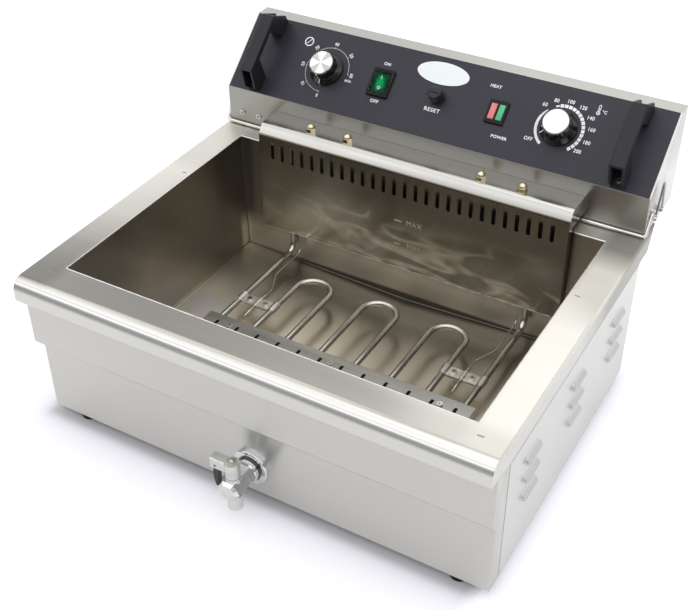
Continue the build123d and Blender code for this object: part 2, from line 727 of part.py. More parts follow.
# tap body: socket on the pipe, six-sided body with a bevelled front, neck for the plug, spout
socket_y = ring_y - RING_T
tap_top = DRAIN_Z + TAP_UP
spout_z = DRAIN_Z - TAP_HEX / 2 - SPOUT_L
plug_z = DRAIN_Z - PORT_R - PLUG_FLOOR
with BuildPart() as tap_body:
    with BuildSketch(facing(socket_y)):
        with Locations((0, DRAIN_Z)):
            RegularPolygon(TAP_HEX / 2, 6, major_radius=False)
    extrude(amount=socket_y - TAP_Y + TAP_R)
    chamfer(tap_body.faces().sort_by(Axis.Y)[0].edges(), TAP_BEVEL)
    with BuildSketch(facing(socket_y)):
        with Locations((0, DRAIN_Z)):
            RegularPolygon(SOCKET_R, 6, major_radius=False)
    extrude(amount=socket_y - TAP_Y - TAP_BACK)
    with BuildSketch(level(DRAIN_Z)):
        with Locations((0, TAP_Y)):
            Circle(TAP_NECK_R)
    extrude(amount=TAP_UP)
    with BuildSketch(level(spout_z)):
        with Locations((0, TAP_Y)):
            Circle(SPOUT_R)
    extrude(amount=SPOUT_L)
    with BuildSketch(facing(socket_y)):
        with Locations((0, DRAIN_Z)):
            Circle(PIPE_R + RUN_FIT)
    extrude(amount=SOCKET_BORE_L, mode=Mode.SUBTRACT)
    with BuildSketch(facing(socket_y)):
        with Locations((0, DRAIN_Z)):
            Circle(PORT_R)
    extrude(amount=socket_y - TAP_Y, mode=Mode.SUBTRACT)
    with BuildSketch(level(tap_top)):
        with Locations((0, TAP_Y)):
            Circle(PLUG_R + RUN_FIT)
    extrude(amount=plug_z - tap_top, mode=Mode.SUBTRACT)
    with BuildSketch(level(spout_z)):
        with Locations((0, TAP_Y)):
            Circle(SPOUT_BORE)
    extrude(amount=plug_z - spout_z, mode=Mode.SUBTRACT)

with BuildPart() as tap_bonnet:
    with BuildSketch(level(tap_top)):
        with Locations((0, TAP_Y)):
            Circle(BONNET_R)
    extrude(amount=BONNET_T)
    with BuildSketch(level(tap_top)):
        with Locations((0, TAP_Y)):
            Circle(PLUG_R)
    extrude(amount=-BONNET_IN)
    with Locations((0, TAP_Y, tap_top + BONNET_T)):
        Hole(STEM_TAP_R + RUN_FIT, BONNET_T + BONNET_IN)

# lever side of the tap: plug with an elbow bore, lever, dome nut
lever_z = tap_top + BONNET_T + LEVER_GAP + HUB_DROP
pin_x = LATCH_PIN_IN - LEVER_L
pin_z = lever_z + LATCH_PIN_UP
with BuildPart() as tap_plug:
    plug_top = tap_top - BONNET_IN - SEAM
    with BuildSketch(level(plug_z + SEAM)):
        with Locations((0, TAP_Y)):
            Circle(PLUG_R)
    extrude(amount=plug_top - plug_z - SEAM)
    with BuildSketch(level(plug_top)):
        with Locations((0, TAP_Y)):
            Circle(STEM_TAP_R)
    extrude(amount=lever_z + LEVER_T - plug_top)
    with BuildSketch(level(plug_z)):
        with Locations((0, TAP_Y)):
            Circle(PORT_R)
    extrude(amount=DRAIN_Z + PORT_R - plug_z, mode=Mode.SUBTRACT)
    # shut, the side port looks across the tap
    with BuildSketch(across(0)):
        with Locations((TAP_Y, DRAIN_Z)):
            Circle(PORT_R - 0.2)
    extrude(amount=2 * PLUG_R, mode=Mode.SUBTRACT)

with BuildPart() as tap_lever:
    with BuildSketch(level(lever_z - HUB_DROP)):
        with Locations((0, TAP_Y)):
            Circle(HUB_R)
    extrude(amount=LEVER_T + HUB_DROP)
    with BuildSketch(level(lever_z)):
        with Locations((-LEVER_L / 2, TAP_Y)):
            Rectangle(LEVER_L, LEVER_W)
    extrude(amount=LEVER_T)
    chamfer(tap_lever.edges().filter_by(Axis.X).group_by(Axis.Z)[-1], LEVER_BEVEL)
    with Locations((0, TAP_Y, lever_z + LEVER_T)):
        Hole(STEM_TAP_R + RUN_FIT, LEVER_T + HUB_DROP)
    with BuildSketch(facing(TAP_Y + LEVER_W)):
        with Locations((pin_x, pin_z)):
            Circle(LATCH_PIN_R + RUN_FIT)
    extrude(amount=2 * LEVER_W, mode=Mode.SUBTRACT)
    # slot for the latch, open below and at the bar's end
    with BuildSketch(level(lever_z)):
        slot_x = pin_x + LATCH_EAR_R + LATCH_PLAY
        with Locations(((slot_x - LEVER_L) / 2, TAP_Y)):
            Rectangle(LEVER_L + slot_x, LATCH_W + 2 * LATCH_PLAY)
    extrude(amount=LATCH_PIN_UP + LATCH_EAR_R + LATCH_PLAY, mode=Mode.SUBTRACT)

with BuildPart() as tap_nut:
    with BuildSketch(level(lever_z + LEVER_T)):
        with Locations((0, TAP_Y)):
            RegularPolygon(DOME_R, 6, major_radius=False)
    extrude(amount=DOME_T)
    with BuildSketch(Plane(origin=(0, TAP_Y, lever_z + LEVER_T + DOME_T), x_dir=(1, 0, 0), z_dir=(0, -1, 0))):
        with BuildLine():
            dome = DOME_R - 1
            CenterArc((0, -dome * 0.4), hypot(dome, dome * 0.4), 90, -degrees(atan2(dome, dome * 0.4)))
            Line((dome, 0), (0, 0))
            Line((0, 0), (0, hypot(dome, dome * 0.4) - dome * 0.4))
        make_face()
    revolve(axis=Axis((0, TAP_Y, 0), (0, 0, 1)))

# safety latch: a tongue on a pin in the lever's slot and a curved finger that hangs beside the tap
with BuildPart() as tap_latch:
    with BuildSketch(facing(TAP_Y + LATCH_W / 2)):
        with Locations((pin_x, pin_z)):
            Circle(LATCH_EAR_R)
        with Locations((pin_x, pin_z - (LATCH_PIN_UP + LATCH_PLAY) / 2)):
            Rectangle(2 * LATCH_EAR_R, LATCH_PIN_UP + LATCH_PLAY)
    extrude(amount=LATCH_W)
    with BuildSketch(facing(TAP_Y + LEVER_W / 2)):
        with Locations((pin_x, pin_z)):
            Circle(LATCH_PIN_R)
    extrude(amount=LEVER_W)
    # the finger is the space between two arcs
    with BuildSketch(facing(TAP_Y + LATCH_W / 2)):
        tip = lever_z - LATCH_PLAY - LATCH_L
        with BuildLine():
            head_a = (pin_x - LATCH_EAR_R, lever_z - LATCH_PLAY)
            head_b = (pin_x + LATCH_EAR_R, lever_z - LATCH_PLAY)
            end_a = (pin_x + LATCH_END - LATCH_TIP, tip)
            end_b = (pin_x + LATCH_END, tip + LATCH_TIP / 2)
            ThreePointArc(head_a, (pin_x - LATCH_BOW, (head_a[1] + tip) / 2), end_a)
            Line(end_a, end_b)
            ThreePointArc(end_b, (pin_x + LATCH_HOLLOW, (head_a[1] + tip) / 2), head_b)
            Line(head_b, head_a)
        make_face()
    extrude(amount=LATCH_W)


# openings for the controls, the same through the head and its fascia
def control_openings(screws):
    with Locations((-2 * CONTROL_STEP, ROW_V), (2 * CONTROL_STEP, ROW_V)):
        Circle(BUSH_R + HOLE_FIT)
    with Locations((-CONTROL_STEP, ROW_V)):
        Rectangle(SWITCH_W + 2 * HOLE_FIT, SWITCH_L + 2 * HOLE_FIT)
    with Locations((0, ROW_V)):
        Circle(NECK_R + HOLE_FIT)
    with Locations((CONTROL_STEP, ROW_V)):
        Rectangle(LAMP_W + 2 * HOLE_FIT, LAMP_L + 2 * HOLE_FIT)
    with Locations(*screws):
        Circle(HANDLE_SCREW_R + HOLE_FIT)


handle_screw_spots = [
    (s * HANDLE_X, v)
    for s in (-1, 1)
    for v in (HANDLE_END + HANDLE_SCREW_IN, PANEL_LEN - HANDLE_END - HANDLE_SCREW_IN)
]
peg_spots = [(HEAD_Y + PEG_Y1, DECK_Z + PEG_UP), (HEAD_Y + PEG_Y2, DECK_Z + PEG_UP)]
lock_spots = [(LOCK_X + s * LOCK_PITCH / 2, DECK_Z + LOCK_UP) for s in (-1, 1)]
capillary_x = LEG_X[-1] - CAPILLARY_IN

# head casing: upright front, sloping panel, top and sides in one folded sheet, open below and behind
with BuildPart() as head_casing:
    front_z = DECK_Z + FRONT_H
    inner_front = front_z + SHEET * (tan(SLOPE) * (1 - sin(SLOPE)) - cos(SLOPE))
    inner_run = (HEAD_TOP - SHEET - (front_z - SHEET * cos(SLOPE))) / tan(SLOPE) + SHEET * sin(SLOPE)
    with BuildSketch(across(-HEAD_X)):
        with BuildLine():
            Polyline(
                (HEAD_Y, HEAD_Z),
                (HEAD_Y, front_z),
                (HEAD_Y + PANEL_RUN, HEAD_TOP),
                (BACK_Y, HEAD_TOP),
                (BACK_Y, HEAD_Z),
                close=True,
            )
        make_face()
    extrude(amount=HEAD_W)
    with BuildSketch(across(-HEAD_X + SHEET)):
        with BuildLine():
            Polyline(
                (HEAD_Y + SHEET, HEAD_Z - SHEET),
                (HEAD_Y + SHEET, inner_front),
                (HEAD_Y + inner_run, HEAD_TOP - SHEET),
                (BACK_Y + SHEET, HEAD_TOP - SHEET),
                (BACK_Y + SHEET, HEAD_Z - SHEET),
                close=True,
            )
        make_face()
    extrude(amount=HEAD_W - 2 * SHEET, mode=Mode.SUBTRACT)
    for s in (-1, 1):
        with BuildSketch(facing(BACK_Y - COVER_SET)):
            with Locations((s * (HEAD_X - SHEET - COVER_LIP / 2), (HEAD_Z + HEAD_TOP) / 2)):
                Rectangle(COVER_LIP, HEAD_TOP - HEAD_Z - 2 * SHEET)
            with Locations(
                (s * COVER_SCREW_X, HEAD_Z + COVER_SCREW_UP), (s * COVER_SCREW_X, HEAD_TOP - COVER_SCREW_UP)
            ):
                Circle(SCREW_R + HOLE_FIT, mode=Mode.SUBTRACT)
        extrude(amount=SHEET)
    with BuildSketch(PANEL):
        control_openings(handle_screw_spots)
    extrude(amount=-SHEET, mode=Mode.SUBTRACT)
    with BuildSketch(facing(HEAD_Y + SHEET)):
        with Locations((LEG_X[0], RUN_Z), (LEG_X[-1], RUN_Z)):
            Circle(TUBE_R + HOLE_FIT)
        with Locations((-capillary_x, RUN_Z), (capillary_x, RUN_Z)):
            Circle(CAPILLARY_R + HOLE_FIT)
        with Locations(*lock_spots):
            Circle(SCREW_R + HOLE_FIT)
        with Locations((LUG_X, HEAD_Z)):
            Rectangle(LUG_W + 2 * LUG_PLAY, LUG_PLAY + SHEET * 2)
    extrude(amount=SHEET, mode=Mode.SUBTRACT)
    with BuildSketch(across(-HEAD_X)):
        with Locations(*peg_spots):
            Circle(PEG_STEM_R + HOLE_FIT)
    extrude(amount=HEAD_W, mode=Mode.SUBTRACT)

# head base: closes the head below, rests on the deck's ledge, with two tongues through the deck
with BuildPart() as head_base:
    base_x = HEAD_X - SHEET - SEAM
    base_front = HEAD_Y + SHEET + SEAM
    base_back = BACK_Y - COVER_SET - SHEET - SEAM
    with BuildSketch(level(HEAD_Z)):
        with Locations((0, (base_front + base_back) / 2)):
            Rectangle(2 * base_x, base_back - base_front)
        with Locations((LUG_X, HEAD_Y + LUG_BACK)):
            Rectangle(LUG_W + 2 * LUG_PLAY, SHEET + 2 * LUG_PLAY, mode=Mode.SUBTRACT)
        with Locations((GLAND_X, BACK_Y - GLAND_BACK)):
            Circle(GLAND_R + HOLE_FIT, mode=Mode.SUBTRACT)
    extrude(amount=SHEET)
    for s in (-1, 1):
        with BuildSketch(across(s * base_x - (SHEET if s > 0 else 0))):
            with Locations(((base_front + base_back) / 2, HEAD_Z + COVER_LIP / 2)):
                Rectangle(base_back - base_front, COVER_LIP)
        extrude(amount=SHEET)
        with BuildSketch(facing(HEAD_Y + TONGUE_BACK + SHEET / 2)):
            with Locations((s * TONGUE_X, HEAD_Z + SHEET - (TONGUE_L + SHEET) / 2)):
                Rectangle(TONGUE_W, TONGUE_L + SHEET)
        extrude(amount=SHEET)
    fillet(head_base.edges().filter_by(Axis.Y).group_by(Axis.Z)[0], TONGUE_ROUND)

# back cover of the head, with vent slots
cover_y = BACK_Y - COVER_SET + SHEET
cover_screw_spots = [
    (s * COVER_SCREW_X, z) for s in (-1, 1) for z in (HEAD_Z + COVER_SCREW_UP, HEAD_TOP - COVER_SCREW_UP)
]
with BuildPart() as head_rear_cover:
    with BuildSketch(facing(cover_y)):
        with Locations((0, (HEAD_Z + HEAD_TOP - SHEET) / 2)):
            Rectangle(2 * (HEAD_X - SHEET - SEAM), HEAD_TOP - SHEET - HEAD_Z - 2 * SEAM)
        with Locations((0, (HEAD_Z + HEAD_TOP) / 2)):
            with GridLocations(VENT_SPAN, VENT_PITCH, VENT_COLS, VENT_ROWS):
                SlotOverall(VENT_L, VENT_W, mode=Mode.SUBTRACT)
        with Locations(*cover_screw_spots):
            Circle(SCREW_R + HOLE_FIT, mode=Mode.SUBTRACT)
    extrude(amount=SHEET)

# screws of the back cover and of the interlock switch
with BuildPart() as case_screws:
    for spots, head_y, toward in ((cover_screw_spots, cover_y, -1), (lock_spots, HEAD_Y, 1)):
        plane = Plane(origin=(0, head_y, 0), x_dir=(1, 0, 0), z_dir=(0, -toward, 0))
        flip = 1 if toward > 0 else -1
        with BuildSketch(plane):
            with Locations(*[(x, flip * z) for x, z in spots]):
                Circle(SCREW_HEAD_R)
        extrude(amount=SCREW_HEAD_T - 0.7)
        with BuildSketch(plane):
            with Locations(*[(x, flip * z) for x, z in spots]):
                Circle(SCREW_R)
        extrude(amount=-4 * SHEET)

# black fascia on the sloping panel
with BuildPart() as fascia_panel:
    with BuildSketch(PANEL.offset(SEAM / 4)):
        with Locations((0, ROW_V)):
            Rectangle(HEAD_W - 2 * FASCIA_IN, PANEL_LEN - FASCIA_T)
    extrude(amount=FASCIA_T)
    with BuildSketch(PANEL.offset(SEAM / 4)):
        control_openings(handle_screw_spots)
    extrude(amount=FASCIA_T, mode=Mode.SUBTRACT)

# bare oval plate above the reset button
with BuildPart() as oval_plate:
    with BuildSketch(on_panel(BADGE_X, ROW_V + BADGE_UP, FACE_H)):
        Ellipse(BADGE_L / 2, BADGE_W / 2)
    extrude(amount=BADGE_T)


# carrying handles: a bar on two hollow legs that open at the ends
def carrying_handle(u):
    with BuildPart() as handle:
        low, high = HANDLE_END, PANEL_LEN - HANDLE_END
        gap_h = HANDLE_H - HANDLE_BAR
        gap_rake = HANDLE_RAKE * gap_h / HANDLE_H
        with BuildSketch(beside_panel(u)):
            with BuildLine():
                Polyline(
                    (low + HANDLE_TUCK, 0),
                    (low, HANDLE_SOLE),
                    (low + HANDLE_RAKE, HANDLE_H),
                    (high - HANDLE_RAKE, HANDLE_H),
                    (high, HANDLE_SOLE),
                    (high - HANDLE_TUCK, 0),
                    (high - HANDLE_LEG, 0),
                    (high - HANDLE_LEG - gap_rake, gap_h),
                    (low + HANDLE_LEG + gap_rake, gap_h),
                    (low + HANDLE_LEG, 0),
                    close=True,
                )
            make_face()
        extrude(amount=HANDLE_W / 2, both=True)
        along = handle.edges().filter_by(Axis(PANEL.origin, UP)).sort_by(Axis(PANEL.origin, OUT))
        fillet(along[-4:], HANDLE_ROUND)
        for near, far in ((low, low + HANDLE_LEG), (high, high - HANDLE_LEG)):
            toward = 1 if far > near else -1
            with BuildSketch(beside_panel(u)):
                with BuildLine():
                    floor_h, roof_h = HANDLE_WALL + 0.4, HANDLE_H - HANDLE_WALL
                    Polyline(
                        (near - toward * HANDLE_RAKE, floor_h),
                        (far + toward * (gap_rake * floor_h / gap_h - 1.4 * HANDLE_WALL), floor_h),
                        (far + toward * (gap_rake - 1.4 * HANDLE_WALL), roof_h),
                        (near - toward * HANDLE_RAKE, roof_h),
                        close=True,
                    )
                make_face()
            extrude(amount=HANDLE_W / 2 - HANDLE_WALL, both=True, mode=Mode.SUBTRACT)
        with BuildSketch(PANEL.offset(FACE_H)):
            with Locations(*[spot for spot in handle_screw_spots if spot[0] * u > 0]):
                Circle(HANDLE_SCREW_R + HOLE_FIT)
        extrude(amount=2 * HANDLE_WALL, mode=Mode.SUBTRACT)
    return handle


handle_left = carrying_handle(-HANDLE_X)
handle_right = carrying_handle(HANDLE_X)

with BuildPart() as handle_screws:
    floor_h = FACE_H + HANDLE_WALL + 0.4
    with BuildSketch(PANEL.offset(floor_h)):
        with Locations(*handle_screw_spots):
            Circle(HANDLE_HEAD_R)
    extrude(amount=SCREW_HEAD_T)
    with BuildSketch(PANEL.offset(floor_h)):
        with Locations(*handle_screw_spots):
            Circle(HANDLE_SCREW_R)
    extrude(amount=-floor_h - 3 * SHEET)


# turning controls: knob with a pointer rib, bright cap and shaft
timer_spot = on_panel(-2 * CONTROL_STEP, ROW_V, FACE_H)
heat_spot = on_panel(2 * CONTROL_STEP, ROW_V, FACE_H)


def control_knob(spot, pointer):
    with BuildPart() as knob:
        with BuildSketch(cut_through(spot)):
            with BuildLine():
                Polyline(
                    (SHAFT_R + RUN_FIT, KNOB_GAP),
                    (SKIRT_R, KNOB_GAP),
                    (SKIRT_R, KNOB_GAP + SKIRT_T),
                    (GRIP_R + 1, SKIRT_H),
                    (GRIP_R, SKIRT_H + 1),
                    (GRIP_R - 0.6, KNOB_H),
                    (CAP_R + HOLE_FIT, KNOB_H),
                    (CAP_R + HOLE_FIT, KNOB_H - CAP_SEAT),
                    (0, KNOB_H - CAP_SEAT),
                    (0, SHAFT_TOP),
                    (SHAFT_R + RUN_FIT, SHAFT_TOP),
                    close=True,
                )
            make_face()
        revolve(axis=Axis(spot.origin, spot.z_dir))
        with BuildSketch(spot.offset(SKIRT_H + 1)):
            with PolarLocations(GRIP_R + FLUTE_R - FLUTE_DEEP, FLUTES):
                Circle(FLUTE_R)
        extrude(amount=KNOB_H, mode=Mode.SUBTRACT)
        with BuildSketch(spot.offset(KNOB_GAP)):
            with PolarLocations((SKIRT_R + GRIP_R) / 2 + 0.2, 1, pointer):
                Rectangle(SKIRT_R - GRIP_R - 0.6, 1.6)
        extrude(amount=SKIRT_H - KNOB_GAP - 1)
    return knob


def knob_cap(spot):
    with BuildPart() as cap:
        with BuildSketch(cut_through(spot)):
            with BuildLine():
                base = KNOB_H - CAP_SEAT
                Polyline(
                    (0, base),
                    (CAP_R, base),
                    (CAP_R, base + CAP_SEAT),
                    (CAP_R - 1, base + CAP_T),
                    (0, base + CAP_T),
                    close=True,
                )
            make_face()
        revolve(axis=Axis(spot.origin, spot.z_dir))
    return cap


def control_shaft(spot):
    with BuildPart() as shaft:
        with BuildSketch(spot.offset(-SHAFT_IN)):
            Circle(SHAFT_R)
        extrude(amount=SHAFT_IN + SHAFT_TOP - SEAM)
    return shaft


timer_knob = control_knob(timer_spot, TIMER_ZERO)
timer_cap = knob_cap(timer_spot)
timer_shaft = control_shaft(timer_spot)
thermostat_knob = control_knob(heat_spot, HEAT_OFF)
thermostat_cap = knob_cap(heat_spot)
thermostat_shaft = control_shaft(heat_spot)

# units behind the panel; each bush passes the panel and carries its shaft
behind = FACE_H + SHEET + SEAM / 2
with BuildPart() as timer_unit:
    with BuildSketch(timer_spot.offset(-behind)):
        Circle(TIMER_R)
    extrude(amount=-TIMER_T)
    with BuildSketch(timer_spot.offset(-behind)):
        Circle(BUSH_R)
    extrude(amount=behind + KNOB_GAP / 2)
    with BuildSketch(timer_spot.offset(KNOB_GAP)):
        Circle(SHAFT_R + RUN_FIT)
    extrude(amount=-KNOB_GAP - SHAFT_IN - SEAM, mode=Mode.SUBTRACT)

with BuildPart() as thermostat_unit:
    with BuildSketch(heat_spot.offset(-behind)):
        RectangleRounded(HEAT_W, HEAT_L, 3)
    extrude(amount=-HEAT_T)
    with BuildSketch(heat_spot.offset(-behind)):
        Circle(BUSH_R)
    extrude(amount=behind + KNOB_GAP / 2)
    with BuildSketch(heat_spot.offset(KNOB_GAP)):
        Circle(SHAFT_R + RUN_FIT)
    extrude(amount=-KNOB_GAP - SHAFT_IN - SEAM, mode=Mode.SUBTRACT)

# rocker switch: frame with a well, rocker, clear splash cover
switch_spot = on_panel(-CONTROL_STEP, ROW_V, FACE_H)
well_w = ROCKER_W + 2 * ROCKER_SIDE
well_l = ROCKER_L + 2 * ROCKER_END
pivot_h = 0.0
with BuildPart() as switch_housing:
    with BuildSketch(switch_spot):
        RectangleRounded(BEZEL_W, BEZEL_L, 2)
    extrude(amount=BEZEL_T)
    chamfer(switch_housing.faces().sort_by(Axis(switch_spot.origin, OUT))[-1].edges(), 1)
    with BuildSketch(switch_spot):
        Rectangle(SWITCH_W, SWITCH_L)
    extrude(amount=-SWITCH_DEEP)
    with BuildSketch(switch_spot.offset(BEZEL_T)):
        Rectangle(well_w, well_l)
    extrude(amount=-BEZEL_T - ROCKER_L / 2, mode=Mode.SUBTRACT)
    # pivot pins on both walls of the well
    with BuildSketch(Plane(origin=switch_spot.origin, x_dir=UP, z_dir=(1, 0, 0))):
        Circle(1.5)
    extrude(amount=well_w / 2 + 0.2, both=True)
    with BuildSketch(Plane(origin=switch_spot.origin, x_dir=UP, z_dir=(1, 0, 0))):
        Circle(2)
    extrude(amount=ROCKER_W / 2 - 2, both=True, mode=Mode.SUBTRACT)

tilt = radians(ROCKER_TILT)
with BuildPart() as switch_rocker:
    rock_up = tuple(UP[i] * cos(tilt) + OUT[i] * sin(tilt) for i in range(3))
    side = Plane(origin=switch_spot.origin, x_dir=rock_up, z_dir=(1, 0, 0))
    with BuildSketch(side):
        with BuildLine():
            half = ROCKER_L / 2
            Polyline(
                (-half, ROCKER_TOP),
                (-half, 0),
                (-half * 0.3, -half * 0.45),
                (half * 0.3, -half * 0.45),
                (half, 0),
                (half, ROCKER_TOP),
            )
            ThreePointArc((half, ROCKER_TOP), (0, ROCKER_TOP - ROCKER_DIP), (-half, ROCKER_TOP))
        make_face()
    extrude(amount=ROCKER_W / 2, both=True)
    with BuildSketch(side):
        Circle(1.5 + RUN_FIT)
    extrude(amount=ROCKER_W, both=True, mode=Mode.SUBTRACT)

with BuildPart() as switch_cover:
    with BuildSketch(switch_spot.offset(BEZEL_T)):
        RectangleRounded(well_w + 2 * COVER_T + 1.2, well_l + 2 * COVER_T + 1.2, 2)
    extrude(amount=COVER_H)
    fillet(switch_cover.faces().sort_by(Axis(switch_spot.origin, OUT))[-1].edges(), 1.2)
    with BuildSketch(switch_spot.offset(BEZEL_T)):
        RectangleRounded(well_w + 1.2, well_l + 1.2, 1.4)
    extrude(amount=COVER_H - COVER_T, mode=Mode.SUBTRACT)

# limiter behind the panel and its reset button
reset_spot = on_panel(0, ROW_V, FACE_H)
with BuildPart() as limiter_unit:
    with BuildSketch(reset_spot.offset(-behind)):
        Circle(LIMITER_R)
    extrude(amount=-LIMITER_T)
    with BuildSketch(reset_spot.offset(-behind)):
        Circle(NECK_R)
    extrude(amount=behind + RESET_COLLAR_T)
    with BuildSketch(reset_spot.offset(RESET_COLLAR_T)):
        Circle(RESET_STEM_R + RUN_FIT)
    extrude(amount=-RESET_COLLAR_T - RESET_STEM_L - RESET_TRAVEL, mode=Mode.SUBTRACT)

with BuildPart() as reset_collar:
    with BuildSketch(reset_spot):
        RegularPolygon(RESET_COLLAR_R, 6, major_radius=True)
        Circle(NECK_R + RUN_FIT, mode=Mode.SUBTRACT)
    extrude(amount=RESET_COLLAR_T)

with BuildPart() as reset_button:
    foot_h = RESET_COLLAR_T + RESET_TRAVEL + LEVER_GAP
    with BuildSketch(cut_through(reset_spot)):
        with BuildLine():
            Polyline(
                (0, -RESET_STEM_L),
                (RESET_STEM_R, -RESET_STEM_L),
                (RESET_STEM_R, foot_h),
                (RESET_R, foot_h),
                (RESET_R - 0.5, RESET_H - 1.5),
                (RESET_R - 2, RESET_H),
                (0, RESET_H),
                close=True,
            )
        make_face()
    revolve(axis=Axis(reset_spot.origin, OUT))

# double signal lamp
lamp_spot = on_panel(CONTROL_STEP, ROW_V, FACE_H)
with BuildPart() as lamp_housing:
    with BuildSketch(lamp_spot):
        RectangleRounded(LAMP_BEZEL_W, LAMP_BEZEL_L, 1.5)
    extrude(amount=LAMP_BEZEL_T)
    chamfer(lamp_housing.faces().sort_by(Axis(lamp_spot.origin, OUT))[-1].edges(), 0.8)
    with BuildSketch(lamp_spot):
        Rectangle(LAMP_W, LAMP_L)
    extrude(amount=-LAMP_DEEP)
    with BuildSketch(lamp_spot.offset(LAMP_BEZEL_T)):
        with Locations((-LENS_STEP / 2, 0), (LENS_STEP / 2, 0)):
            Rectangle(LENS_W + 2 * HOLE_FIT, LENS_L + 2 * HOLE_FIT)
    extrude(amount=-LENS_SEAT, mode=Mode.SUBTRACT)


def lamp_lens(u):
    with BuildPart() as lens:
        with BuildSketch(lamp_spot.offset(LAMP_BEZEL_T - LENS_SEAT)):
            with Locations((u, 0)):
                Rectangle(LENS_W, LENS_L)
        extrude(amount=LENS_SEAT + LENS_OUT)
        fillet(lens.faces().sort_by(Axis(lamp_spot.origin, OUT))[-1].edges(), LENS_OUT * 0.7)
    return lens


lamp_lens_red = lamp_lens(-LENS_STEP / 2)
lamp_lens_green = lamp_lens(LENS_STEP / 2)

# heating element: one tube, down behind the guard, eight legs over the floor, up and into the head
front_bend = OPEN_Y + LEG_FRONT
back_bend = REAR_Y - LEG_BACK
tube_end = HEAD_Y + TUBE_IN
legs = []
for i in range(1, LEGS - 1):
    ends = (front_bend, back_bend) if i % 2 else (back_bend, front_bend)
    legs += [(LEG_X[i], y, LEG_Z) for y in ends]
tube_points = (
    [(LEG_X[0], tube_end, RUN_Z), (LEG_X[0], RISER_Y, RUN_Z), (LEG_X[0], RISER_Y, LEG_Z)]
    + [(LEG_X[0], front_bend, LEG_Z)]
    + legs
    + [(LEG_X[-1], front_bend, LEG_Z)]
    + [(LEG_X[-1], RISER_Y, LEG_Z), (LEG_X[-1], RISER_Y, RUN_Z), (LEG_X[-1], tube_end, RUN_Z)]
)
tube_radii = [RISER_R, RISER_R] + [LEG_STEP / 2] * (2 * LEGS - 2) + [RISER_R, RISER_R]
with BuildPart() as heater_element:
    with BuildLine() as tube_line:
        bent_line(tube_points, tube_radii)
    with BuildSketch(facing(tube_end)):
        with Locations((LEG_X[0], RUN_Z)):
            Circle(TUBE_R)
    sweep(path=tube_line.wire())
    # cold pins at both ends
    with BuildSketch(facing(tube_end + PIN_L)):
        with Locations((LEG_X[0], RUN_Z), (LEG_X[-1], RUN_Z)):
            Circle(PIN_R)
    extrude(amount=PIN_L)

# gland nuts that hold the element's two ends in the head's front
with BuildPart() as element_nuts:
    for face in (HEAD_Y, HEAD_Y + SHEET + GLAND_NUT_T):
        with BuildSketch(facing(face)):
            with Locations((LEG_X[0], RUN_Z), (LEG_X[-1], RUN_Z)):
                RegularPolygon(GLAND_NUT / 2, 6, major_radius=False)
                Circle(TUBE_R + RUN_FIT, mode=Mode.SUBTRACT)
        extrude(amount=GLAND_NUT_T)

# guard: shelf, sloping bend, slotted plate in front of the risers, side wings
shelf_z = DECK_Z + SHELF_UP
guard_low = DECK_Z - GUARD_DOWN
shelf_back = HEAD_Y - SEAM
guard_line = [
    (shelf_back, shelf_z),
    (GUARD_Y + BEND_RUN, shelf_z),
    (GUARD_Y, shelf_z - BEND_FALL),
    (GUARD_Y, guard_low),
]
guard_sheet = folded(guard_line, SHEET)
with BuildPart() as guard:
    with BuildSketch(across(-GUARD_W / 2)):
        with BuildLine():
            Polyline(*guard_sheet, close=True)
        make_face()
        fillet(corners_at(vertices(), guard_line[1:3]), BEND_R)
        fillet(corners_at(vertices(), guard_sheet[5:7]), BEND_R - SHEET)
    extrude(amount=GUARD_W)
    for side in (-GUARD_W / 2, GUARD_W / 2 - SHEET):
        with BuildSketch(across(side)):
            with BuildLine():
                Polyline(
                    *guard_line,
                    (GUARD_Y + WING_T, guard_low),
                    (GUARD_Y + WING_T, DECK_Z + WING_UP),
                    (shelf_back, DECK_Z + WING_UP),
                    close=True,
                )
            make_face()
            fillet(corners_at(vertices(), guard_line[1:3]), BEND_R)
        extrude(amount=SHEET)
    with BuildSketch(facing(GUARD_Y + SHEET)):
        with Locations((0, DECK_Z)):
            with GridLocations(SLOT_PITCH, 1, SLOTS, 1):
                SlotOverall(SLOT_L, SLOT_W, rotation=90)
    extrude(amount=SHEET, mode=Mode.SUBTRACT)
    stud_y = GUARD_Y + BEND_RUN + STUD_IN
    stud_spots = [(s * x, stud_y) for s in (-1, 1) for x in (STUD_X1, STUD_X2)]
    with BuildSketch(level(shelf_z)):
        with Locations(*stud_spots):
            Circle(STUD_R + HOLE_FIT)
    extrude(amount=-SHEET, mode=Mode.SUBTRACT)

# bracket under the shelf, behind its bend and on the head's front, with four studs
bracket_front = GUARD_Y + BEND_RUN + BEND_R * tan(atan2(BEND_FALL, BEND_RUN) / 2) + SEAM
with BuildPart() as guard_bracket:
    with BuildSketch(across(-BRACKET_W / 2)):
        with BuildLine():
            Polyline(
                *folded(
                    [
                        (bracket_front, shelf_z - SHEET),
                        (shelf_back, shelf_z - SHEET),
                        (shelf_back, DECK_Z + WING_UP),
                    ],
                    -SHEET,
                ),
                close=True,
            )
        make_face()
    extrude(amount=BRACKET_W)
    with BuildSketch(level(shelf_z - SHEET)):
        with Locations(*stud_spots):
            Circle(STUD_R)
    extrude(amount=SHEET + ACORN_T)

with BuildPart() as guard_nuts:
    with BuildSketch(level(shelf_z)):
        with Locations(*stud_spots):
            RegularPolygon(ACORN / 2, 6, major_radius=False)
    extrude(amount=ACORN_T)
    with Locations(*[(x, y, shelf_z + ACORN_T) for x, y in stud_spots]):
        Sphere(ACORN_DOME, arc_size1=0, align=(Align.CENTER, Align.CENTER, Align.MIN))
    with BuildSketch(level(shelf_z)):
        with Locations(*stud_spots):
            Circle(STUD_R + RUN_FIT)
    extrude(amount=ACORN_T + SEAM, mode=Mode.SUBTRACT)

